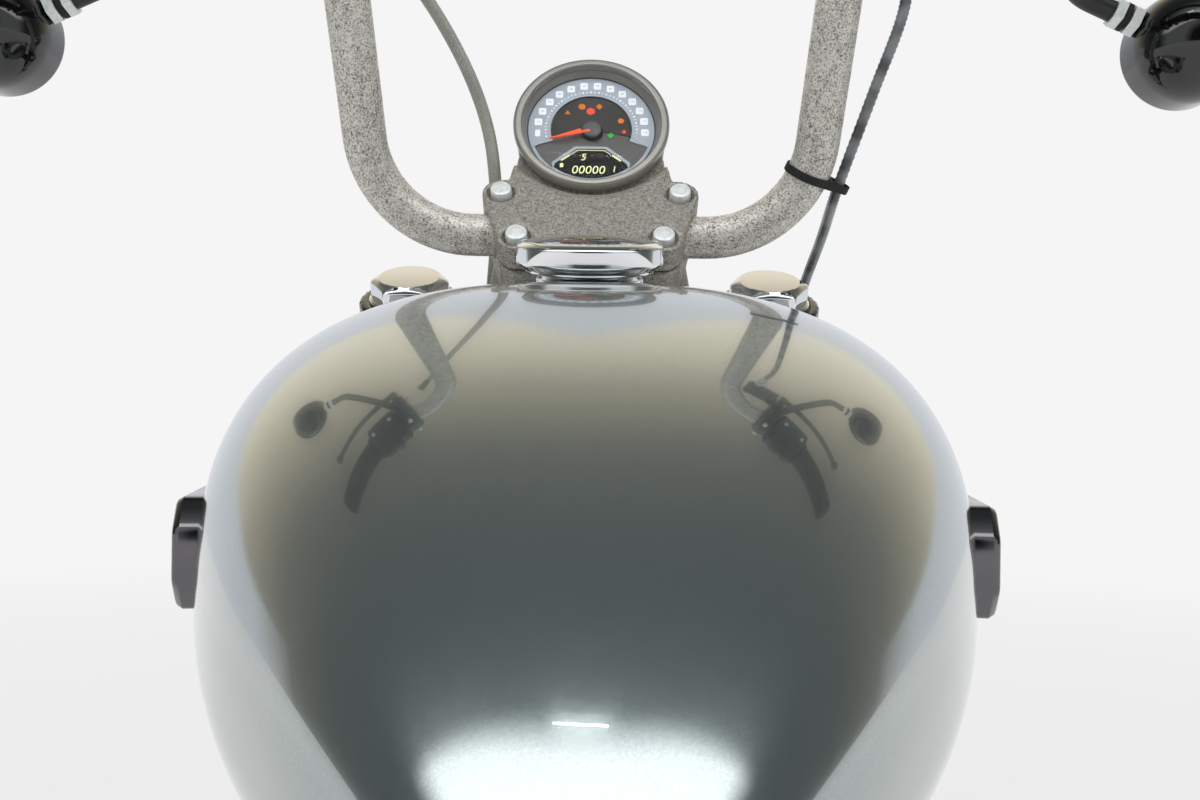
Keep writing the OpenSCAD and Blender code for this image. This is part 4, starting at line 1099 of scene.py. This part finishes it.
def other_side(v):
    return Vector((v.x, -v.y, -v.z))


class BOBBER_OT_controls(bpy.types.Operator):
    """Switch housings, perches, levers, master cylinder with its banjo"""
    bl_idname = "bobber.controls"
    bl_label = "Controls"

    SWITCH_S, PERCH_S, LEVER_LEN, REACH = 186, 210.6, 165, 58

    def execute(self, context):
        for side, name in ((-1, "left"), (1, "right")):
            cast_copy("housing_" + name, "steering", "switch_" + name, FINISH["control_black"], 0.9, 6)
            self.switch_detail(side, name)
            perch = "clutch_perch" if side < 0 else "brake_perch"
            lever = "clutch_lever" if side < 0 else "brake_lever"
            cast_copy(perch + "_casting", "steering", perch, FINISH["control_black"], 0.8, 5)
            self.lever(side, lever)
            self.perch_screws(side, name)
        self.master()
        return {"FINISHED"}

    def switch_detail(self, side, name):
        """Rocker buttons, the joint line and the screws of a switch housing."""
        place = on_bar(side, self.SWITCH_S)
        shape = Shape()
        line = softened([(20.6, 29.4), (21.6, 29.6), (21.6, 30.4), (20.6, 30.6)], 0.2)
        shape.add(revolved(line, 96), place, 1)
        for x, y, z, wide, deep in ((-27.4, -10, 10, 11, 9), (-26.4, 6, 26, 13, 12), (-24.6, 4, 46, 9, 14)):
            button = place @ shift(x, y, z) @ lean(-90, "Y")
            shape.add(prism(rounded_box(wide, deep, 2.5), -5, 3.2, 0.8), button, 0)
            shape.add(prism(rounded_box(wide * 0.5, 1.2, 0.5), 3.0, 3.5, 0.1), button, 1)
        for z in (12, 48):
            screw = place @ shift(6, -23.8, z) @ lean(90, "X")
            shape.add(revolved(softened([(0, -2), (3.4, -2), (3.4, 2.2), (2.4, 3.0), (0, 3.0)], 0.5), 32), screw, 2)
        piece("switch_buttons_" + name, "steering", shape,
              [FINISH["black_plastic"], FINISH["mount_rubber"], FINISH["zinc"]])

    def lever(self, side, node):
        """A forged lever: a flat boss at the pivot, an oval blade and a ball end."""
        pivot_x, pivot_y, knuckle_x = self.REACH - 20, -6, self.REACH + 2
        shape = Shape()
        place = on_bar(side, self.PERCH_S)
        path = spline([(knuckle_x - 1, pivot_y, 12.5), (knuckle_x + 1, pivot_y - 0.5, 26), (self.REACH + 1, pivot_y - 1.4, 44),
                       (self.REACH, pivot_y - 2, 60), (self.REACH - 1.2, pivot_y - 2.8, 96),
                       (self.REACH - 3, pivot_y - 3.6, 132), (self.REACH - 4, pivot_y - 4, self.LEVER_LEN)], 8)
        last = len(path) - 1
        radii = [6.6 - 1.5 * min(1, i / (last * 0.5)) for i in range(last + 1)]
        shape.add(swept(path, radii, 28, 0.86, Vector((0, 1, 0))), place)
        ball = [(8 * sind(a), -8 * cosd(a)) for a in range(0, 181, 9)]
        shape.add(revolved(ball, 40), place @ shift(self.REACH - 4, pivot_y - 4, self.LEVER_LEN))
        arm = [(pivot_x, -8.6), (knuckle_x + 4, -7.2), (knuckle_x + 6.4, -3), (knuckle_x + 6.4, 3.5), (knuckle_x + 3, 6.8),
               (pivot_x, 8.6), (pivot_x - 5.5, 6.6), (pivot_x - 8.4, 2.2), (pivot_x - 8.4, -2.2), (pivot_x - 5.5, -6.6)]
        flat = prism(arm, 7.6, 16.8, 0.7)
        shape.add(flat, place @ shift(0, pivot_y, 0))
        bolt = softened([(0, 0.1), (3.9, 0.1), (3.9, 24.0), (6.2, 24.0), (6.2, 27.0), (5.4, 28.0), (0, 28.0)], 0.5)
        shape.add(revolved(bolt, 40), place @ shift(pivot_x, pivot_y, 0), 1)
        nut = prism(regular(6, 6.4), -4.2, 0.0, 0.6)
        shape.add(nut, place @ shift(pivot_x, pivot_y, 0), 1)
        piece(node + "_forging", "steering", shape, [FINISH["control_black"], FINISH["zinc"]], [node])

    def perch_screws(self, side, name):
        """The clamp band and its two screws, towards the rider."""
        place = on_bar(side, self.PERCH_S)
        shape = Shape()
        cover = softened([(19.0, 2), (21.6, 2.6), (21.6, 21.4), (19.0, 22)], 1.0)
        band_verts, band_faces = [], []
        steps = 40
        for k in range(steps + 1):
            a = 143 + 74 * k / steps
            band_verts += [(r * cosd(a), r * sind(a), z) for r, z in cover]
        n = len(cover)
        for k in range(steps):
            for m in range(n):
                a, b = n * k + m, n * k + (m + 1) % n
                band_faces.append([a, b, b + n, a + n])
        band_faces += [list(range(n - 1, -1, -1)), [n * steps + m for m in range(n)]]
        shape.add((band_verts, band_faces), place, 0)
        for y in (-17.5, 17.5):
            ear = place @ shift(-14.8, y, 12) @ lean(-90, "Y")
            shape.add(revolved(softened([(0, -2), (3.6, -2), (3.6, 4.0), (3.0, 4.6), (0, 4.6)], 0.4), 32), ear, 1)
        piece("perch_band_" + name, "steering", shape, [FINISH["control_black"], FINISH["zinc"]])

    def master(self):
        place = on_bar(1, self.PERCH_S) @ shift(36, -22, -46)
        shape = Shape()
        barrel = softened([(0, 0.2), (10.5, 0.2), (11.5, 2.5), (14.0, 3.0), (14.0, 9.5), (13.2, 10.2), (13.2, 40.5),
                           (14.0, 41.5), (14.0, 45.8), (0, 45.8)], 0.7)
        shape.add(revolved(barrel, 72), place, 0)
        stub = place @ shift(0, 0, 12) @ lean(90, "X")
        shape.add(revolved(softened([(0, 8), (6.0, 8), (6.0, 19.5), (0, 19.5)], 0.5), 40), stub, 0)
        banjo = softened([(5.2, 19.6), (8.2, 19.6), (8.6, 20.6), (8.6, 24.8), (8.2, 25.8), (5.2, 25.8), (5.2, 19.6)], 0.5)
        shape.add(revolved(banjo, 48), stub, 1)
        shape.add(prism(regular(6, 6.6), 25.8, 26.8, 0.4), stub, 1)
        shape.add(revolved([(0, 19), (5.3, 19), (5.3, 26), (0, 26)], 40), stub, 1)
        piece("reservoir", "steering", shape, [FINISH["signal_black"], FINISH["chrome"]],
              ["master_cylinder"])


def steer_at(x, y, z):
    """A point of the steering datum, in millimetres from the bar."""
    return (AT_BAR.inverted() @ AT_STEER @ Vector((x * MM, y * MM, z * MM))) / MM


def along_bar(s, x, y):
    return (AT_BAR.inverted() @ on_bar(1, s) @ Vector((x * MM, y * MM, 0))) / MM


class BOBBER_OT_lines(bpy.types.Operator):
    """Brake hose in its ribbed sleeve, clutch cable, their ferrules and the tie"""
    bl_idname = "bobber.lines"
    bl_label = "Hose and cable"

    LINE_Y, HOSE_X, CABLE_X, LOWER_TOP = 54, 52, -50, -250

    def execute(self, context):
        lean_sin, lean_cos = sind(BAR_LEAN), cosd(BAR_LEAN)
        flat_end = BAR_CORNER - BEND_R * tand((90 - BAR_FLARE) / 2)
        tie_angle, reach = 69, 20
        centre = Vector((flat_end + BEND_R * sind(tie_angle), BEND_R * (1 - cosd(tie_angle))))
        hole = centre + reach * Vector((sind(tie_angle), -cosd(tie_angle)))
        hose = [along_bar(210.6 + 46 - 12, 36, -22 - 27.8), (171, -65, 118), (160, -44, 78),
                (hole.x, -hole.y * lean_sin, hole.y * lean_cos), (146, 30, 5), (143, 66, -18), (138, 92, -46),
                (134, 114, -92), (116, 144, -150), steer_at(self.HOSE_X + 14, self.LINE_Y + 6, self.LOWER_TOP + 46),
                steer_at(self.HOSE_X, self.LINE_Y, self.LOWER_TOP + 22),
                steer_at(self.HOSE_X, self.LINE_Y, self.LOWER_TOP + 6.3)]
        cable = [(-186, -70, 200), (-160, -36, 196), (-130, 0, 178), (-104, 24, 151), (-81, 34, 113), (-67, 39, 77),
                 (-61, 38, 41), (-61, 48, 0), (-64, 66, -45), steer_at(-58, self.LINE_Y, -140),
                 steer_at(self.CABLE_X, self.LINE_Y, -200), steer_at(self.CABLE_X, self.LINE_Y, self.LOWER_TOP + 6.3)]
        self.ribbed_hose(hose, context.scene.bobber_sizes.sleeve_rib / MM)
        self.cable(cable)
        self.ends()
        return {"FINISHED"}

    @staticmethod
    def resampled(points, gap):
        """Points about a gap apart along a smooth curve."""
        fine = spline(points, 60)
        out, walked = [fine[0]], 0.0
        for a, b in zip(fine, fine[1:]):
            walked += (b - a).length
            if walked >= gap:
                out.append(b)
                walked = 0.0
        return out + [fine[-1]]

    def ribbed_hose(self, points, rib):
        path = self.resampled(points, rib / 2)
        radii = [3.35 if i % 2 else 2.95 for i in range(len(path))]
        shape = Shape().add(swept(path, radii, 16), AT_BAR)
        for run, r in ((path[:9], 4.6), (path[-9:], 4.8)):
            shape.add(swept([run[0], run[2], run[-1]], [r, r, 4.0], 24), AT_BAR, 1)
        piece("hose", "steering", shape, [FINISH["hose_sleeve"], FINISH["zinc"]], ["brake_hose"],
              crease=60)

    def cable(self, points):
        path = self.resampled(points, 5)
        shape = Shape().add(swept(path, 4.0, 24), AT_BAR)
        shape.add(swept([path[0], path[2], path[4]], [5.2, 5.0, 4.3], 24), AT_BAR, 1)
        shape.add(swept([path[-5], path[-3], path[-1]], [4.2, 5.0, 5.2], 24), AT_BAR, 1)
        piece("cable", "steering", shape, [FINISH["cable_black"], FINISH["black_plastic"]],
              ["clutch_cable"], crease=60)

    def ends(self):
        for node, x in (("hose_block", self.HOSE_X), ("cable_guide", self.CABLE_X)):
            cast_copy(node + "_casting", "steering", node, FINISH["black_plastic"], 0.7, 4)
        cast_copy("line_tie", "steering", "cable_tie", FINISH["mount_rubber"], 0.45, 4)


class BOBBER_OT_signals(bpy.types.Operator):
    """Turn signals: gloss black domes, ribbed amber lenses and bent stalks with their nuts"""
    bl_idname = "bobber.signals"
    bl_label = "Signals"

    X, BACK, UP, SIZE = 335, 51, 103, 64

    def execute(self, context):
        r = self.SIZE / 2
        dome = [(r * sind(a), -r * cosd(a)) for a in range(0, 91, 3)]
        dome += softened([(r, 0), (r, 15.4), (r - 1.0, 17.6), (r - 3.0, 17.8), (r - 3.0, 14.2), (0, 14.2)], 0.8)[1:]
        lens = [(0, 14.3), (r - 3.3, 14.3)]
        for a in range(0, 91, 5):
            lens.append(((r - 3.3) * cosd(a), 18 + 8 * sind(a) - (0.25 if (a // 5) % 2 else 0)))
        for side, name in ((-1, "left"), (1, "right")):
            place = (MIRROR if side < 0 else Matrix.Identity(4)) @ AT_BAR @ shift(self.X, -self.BACK, self.UP) @ lean(-90)
            piece("dome_" + name, "steering", Shape().add(revolved(dome, 96), place), FINISH["signal_black"],
                  ["signal_" + name])
            piece("lens_" + name, "steering", Shape().add(revolved(lens, 96), place), FINISH["signal_amber"],
                  ["signal_lens_" + name])
            self.stalk(side, name)
        return {"FINISHED"}

    def stalk(self, side, name):
        foot_s = 210.6 - 12
        foot, drop = along_bar(foot_s, 0, -19.1), along_bar(foot_s, 0, -35)
        centre = Vector((self.X, -self.BACK, self.UP))
        knee = centre + Vector((-62, 0, 28))
        tip = centre + (knee - centre).normalized() * (self.SIZE / 2 + 0.1)
        path = [foot] + bend(foot, drop, knee, 14, 12) + bend(drop, knee, tip, 20, 12) + [tip]
        place = (MIRROR if side < 0 else Matrix.Identity(4)) @ AT_BAR
        shape = Shape().add(swept(path, 5.9, 32, 1.0, Vector((0, 1, 0))), place)
        along = (knee - tip).normalized()
        for start, length, r, mark in ((0.4, 5.5, 9.0, 1), (7.0, 3.0, 8.0, 2), (10.4, 5.0, 9.0, 1)):
            a = tip + along * start
            nut = swept([a, a + along * length], r, 6 if mark == 1 else 32, 1.0, Vector((0, 1, 0)))
            shape.add(nut, place, mark)
        piece("stalk_" + name, "steering", shape, [FINISH["black_plastic"], FINISH["zinc"], FINISH["mount_rubber"]],
              ["signal_stalk_" + name])


class BOBBER_OT_frame_finish(bpy.types.Operator):
    """Finishes of the frame, stem, bearings, mounts and the gauge's case, which keep their own form"""
    bl_idname = "bobber.frame_finish"
    bl_label = "Frame finishes"

    PLAIN = {
        "frame_neck": "frame_black", "frame_backbone": "frame_black", "head_bearings": "bearing_steel",
        "tank_front_bolt": "mount_rubber", "tank_rear_bolt": "mount_rubber", "fuel_outlet": "black_plastic",
        "steering_stem": "bearing_steel", "gauge_case": "black_plastic"}

    def execute(self, context):
        for node, slot in self.PLAIN.items():
            obj = NODES[node]
            obj.data.materials.clear()
            obj.data.materials.append(FINISH[slot])
        return {"FINISHED"}


class BOBBER_OT_finishes(bpy.types.Operator):
    """Every material of the object"""
    bl_idname = "bobber.finishes"
    bl_label = "Finishes"

    def execute(self, context):
        make_finishes(context.scene.bobber_look)
        return {"FINISHED"}


class BOBBER_OT_stage(bpy.types.Operator):
    """Pale floor, studio light and the camera at the rider's eye"""
    bl_idname = "bobber.stage"
    bl_label = "Stage"

    EYE = (0, -0.236, 0.171)
    LENS, SENSOR, ROLL, SIDE_SHIFT = 35, 36, -0.7, 0.01
    FLOOR_NEAR = 0.6
    SOFTBOX_GLOW = 2.8

    def execute(self, context):
        stage = context.scene.bobber_stage
        self.camera(context)
        self.floor(stage)
        self.world(context, stage)
        self.softbox()
        self.lamps(stage)
        view = context.scene.view_settings
        view.view_transform = "Standard"
        return {"FINISHED"}

    def camera(self, context):
        data = bpy.data.cameras.new("rider_eye")
        data.lens, data.sensor_width, data.shift_x = self.LENS, self.SENSOR, self.SIDE_SHIFT
        data.clip_start = 0.01
        obj = bpy.data.objects.new("rider_eye", data)
        obj.location = self.EYE
        obj.rotation_euler = (math.radians(90), math.radians(self.ROLL), 0)
        context.scene.collection.objects.link(obj)
        context.scene.camera = obj

    def floor(self, stage):
        low = CAD_BOX[0].z - stage.drop
        mesh = bpy.data.meshes.new("floor")
        size = 12
        mesh.from_pydata([(-size, -size, low), (size, -size, low), (size, size, low), (-size, size, low)], [],
                         [[0, 1, 2, 3]])
        material, tree, shader, place = start_material("matt_floor_paint", Roughness=0.9)
        mottle = grain_noise(tree, place, 60.0, detail=3)
        paint = ramp(tree, mottle, [(0.2, "#f1f1f1"), (0.8, stage.backdrop)])
        plug(tree, paint, shader, "Base Color")
        # the eye and every mirror see the floor run into the backdrop; near the object it keeps the shadow
        away = add_node(tree, "ShaderNodeVectorMath", {"operation": "LENGTH"}, i0=place).outputs["Value"]
        ray = add_node(tree, "ShaderNodeLightPath")
        looked = add_node(tree, "ShaderNodeMath", {"operation": "MAXIMUM"}, i0=ray.outputs["Is Camera Ray"],
                          i1=ray.outputs["Is Glossy Ray"]).outputs[0]
        share = add_node(tree, "ShaderNodeMath", {"operation": "MULTIPLY"}, i0=looked,
                         i1=grade(tree, away, self.FLOOR_NEAR, 1.0, 1.0, 4.0)).outputs[0]
        flat = add_node(tree, "ShaderNodeEmission", Color=to_linear(stage.backdrop), Strength=1.0).outputs[0]
        mixed = add_node(tree, "ShaderNodeMixShader", i0=share, i1=shader.outputs[0], i2=flat).outputs[0]
        tree.links.new(mixed, tree.nodes["Material Output"].inputs["Surface"])
        mesh.materials.append(material)
        obj = bpy.data.objects.new("floor", mesh)
        bpy.context.scene.collection.objects.link(obj)

    @staticmethod
    def world(context, stage):
        """White all round for the eye; reflections see a pale sweep ahead, a cream wall over it and a dim room."""
        world = bpy.data.worlds.new("studio")
        world.use_nodes = True
        context.scene.world = world
        tree = world.node_tree
        tree.nodes.clear()
        way = add_node(tree, "ShaderNodeTexCoord").outputs["Generated"]
        across, ahead, up = add_node(tree, "ShaderNodeSeparateXYZ", i0=way).outputs
        # the white sweep ends lower at the sides than straight ahead
        spread = add_node(tree, "ShaderNodeMath", {"operation": "ABSOLUTE"}, i0=across).outputs[0]
        rise = add_node(tree, "ShaderNodeMath", {"operation": "MULTIPLY_ADD"}, i0=spread, i1=0.65, i2=up).outputs[0]
        above = grade(tree, rise, 0, 1, 0.66, 0.70)
        behind = grade(tree, ahead, 1, 0, 0.36, 0.48)
        room = add_node(tree, "ShaderNodeMath", {"operation": "MAXIMUM"}, i0=above, i1=behind).outputs[0]
        # from behind the rider, over their head, to the cream wall ahead
        walls = ramp(tree, grade(tree, ahead, 0, 1, -1, 1), [
            (0.0, "#2e3136"), (0.04, "#3a3e44"), (0.1, "#d8dcde"), (0.3, "#d8dcde"), (0.37, "#98a1a0"),
            (0.42, "#646c6b"), (0.5, "#565e5e"), (0.6, "#5f6462"), (0.68, "#827f76"), (0.77, "#c4bba6"),
            (0.84, "#f2e8d0"), (0.89, "#fff7e2")])
        bands = add_node(tree, "ShaderNodeMix", {"data_type": "RGBA"}, i0=room)
        bands.inputs[6].default_value = to_linear("#e4e7ed")
        tree.links.new(walls, bands.inputs[7])
        bands = bands.outputs[2]
        ray = add_node(tree, "ShaderNodeLightPath")
        seen = add_node(tree, "ShaderNodeBackground", Color=to_linear(stage.backdrop), Strength=1.0)
        mirrored = add_node(tree, "ShaderNodeBackground", Color=bands, Strength=1.0)
        soft = add_node(tree, "ShaderNodeBackground", Color=to_linear("#f4f5f6"), Strength=0.62 * stage.level)
        gloss = add_node(tree, "ShaderNodeMath", {"operation": "MAXIMUM"}, i0=ray.outputs["Is Glossy Ray"],
                         i1=ray.outputs["Is Transmission Ray"]).outputs[0]
        inner = add_node(tree, "ShaderNodeMixShader", i0=gloss, i1=soft.outputs[0], i2=mirrored.outputs[0])
        outer = add_node(tree, "ShaderNodeMixShader", i0=ray.outputs["Is Camera Ray"], i1=inner.outputs[0],
                         i2=seen.outputs[0])
        add_node(tree, "ShaderNodeOutputWorld", Surface=outer.outputs[0])

    def softbox(self):
        """Long soft box above and behind the rider, seen only in reflections. Its edges fade out."""
        high, wide, front, back = 1.9, 5.0, -0.3, -1.5
        mesh = bpy.data.meshes.new("rear_softbox_face")
        mesh.from_pydata([(-wide, back, high), (wide, back, high), (wide, front, high), (-wide, front, high)], [],
                         [[0, 1, 2, 3]])
        material, tree, shader, place = start_material("softbox_cloth")
        across, ahead, up = add_node(tree, "ShaderNodeSeparateXYZ", i0=place).outputs
        side = add_node(tree, "ShaderNodeMath", {"operation": "ABSOLUTE"}, i0=across).outputs[0]
        edge = add_node(tree, "ShaderNodeMath", {"operation": "MULTIPLY"},
                        i0=grade(tree, ahead, 0, 1, front, front - 0.3),
                        i1=grade(tree, side, 0, 1, wide, wide - 2.2)).outputs[0]
        fade = add_node(tree, "ShaderNodeMath", {"operation": "POWER"}, i0=edge, i1=1.6).outputs[0]
        cloth = add_node(tree, "ShaderNodeEmission", Color=to_linear("#fbfdff"), Strength=self.SOFTBOX_GLOW).outputs[0]
        clear = add_node(tree, "ShaderNodeBsdfTransparent").outputs[0]
        mixed = add_node(tree, "ShaderNodeMixShader", i0=fade, i1=clear, i2=cloth).outputs[0]
        tree.links.new(mixed, tree.nodes["Material Output"].inputs["Surface"])
        mesh.materials.append(material)
        obj = bpy.data.objects.new("rear_softbox_face", mesh)
        bpy.context.scene.collection.objects.link(obj)
        obj.visible_camera = obj.visible_diffuse = obj.visible_shadow = False

    @staticmethod
    def lamps(stage):
        # name, place, aim, width, depth, watts, seen in reflections
        rows = [
            ("overhead_soft", (0.0, 0.5, 2.4), (0, 0.4, 0.2), 2.2, 2.2, 18, False),
            ("rear_softbox", (0.0, -0.62, 1.9), (0, 0.05, 0.1), 1.5, 0.42, 8, False),
            ("rear_tube", (-0.02, -0.34, 1.64), (0, 0.06, 0.09), 0.26, 0.012, 0.25, True)]
        for name, place, aim, width, depth, watts, mirrored in rows:
            data = bpy.data.lights.new(name, "AREA")
            data.shape, data.size, data.size_y, data.energy = "RECTANGLE", width, depth, watts * stage.level
            obj = bpy.data.objects.new(name, data)
            obj.location = place
            obj.rotation_euler = (Vector(aim) - Vector(place)).to_track_quat("-Z", "Y").to_euler()
            obj.visible_camera = False
            obj.visible_glossy = mirrored
            bpy.context.scene.collection.objects.link(obj)


class BOBBER_PT_panel(bpy.types.Panel):
    """Sizes, colours and steps of the assembly"""
    bl_label = "Bobber tank and steering"
    bl_space_type = "VIEW_3D"
    bl_region_type = "UI"
    bl_category = "Bobber"

    def draw(self, context):
        scene = context.scene
        for group in (scene.bobber_look, scene.bobber_sizes, scene.bobber_stage):
            box = self.layout.box()
            for name in group.__annotations__:
                box.prop(group, name)
        for step in STEPS:
            self.layout.operator(step.bl_idname)


GROUPS = {"bobber_look": BobberLook, "bobber_sizes": BobberSizes, "bobber_stage": BobberStage}
STEPS = (BOBBER_OT_finishes, BOBBER_OT_stage, BOBBER_OT_frame_finish, BOBBER_OT_tank, BOBBER_OT_badges,
         BOBBER_OT_cap, BOBBER_OT_fork, BOBBER_OT_riser, BOBBER_OT_gauge, BOBBER_OT_bar, BOBBER_OT_controls,
         BOBBER_OT_lines, BOBBER_OT_signals)


def register():
    for cls in (*GROUPS.values(), *STEPS, BOBBER_PT_panel):
        bpy.utils.register_class(cls)
    for name, group in GROUPS.items():
        setattr(bpy.types.Scene, name, bpy.props.PointerProperty(type=group))


def unregister():
    for name in GROUPS:
        delattr(bpy.types.Scene, name)
    for cls in reversed((*GROUPS.values(), *STEPS, BOBBER_PT_panel)):
        bpy.utils.unregister_class(cls)


def main():
    register()
    for step in STEPS:
        group, name = step.bl_idname.split(".")
        getattr(getattr(bpy.ops, group), name)()


if __name__ == "__main__":
    main()
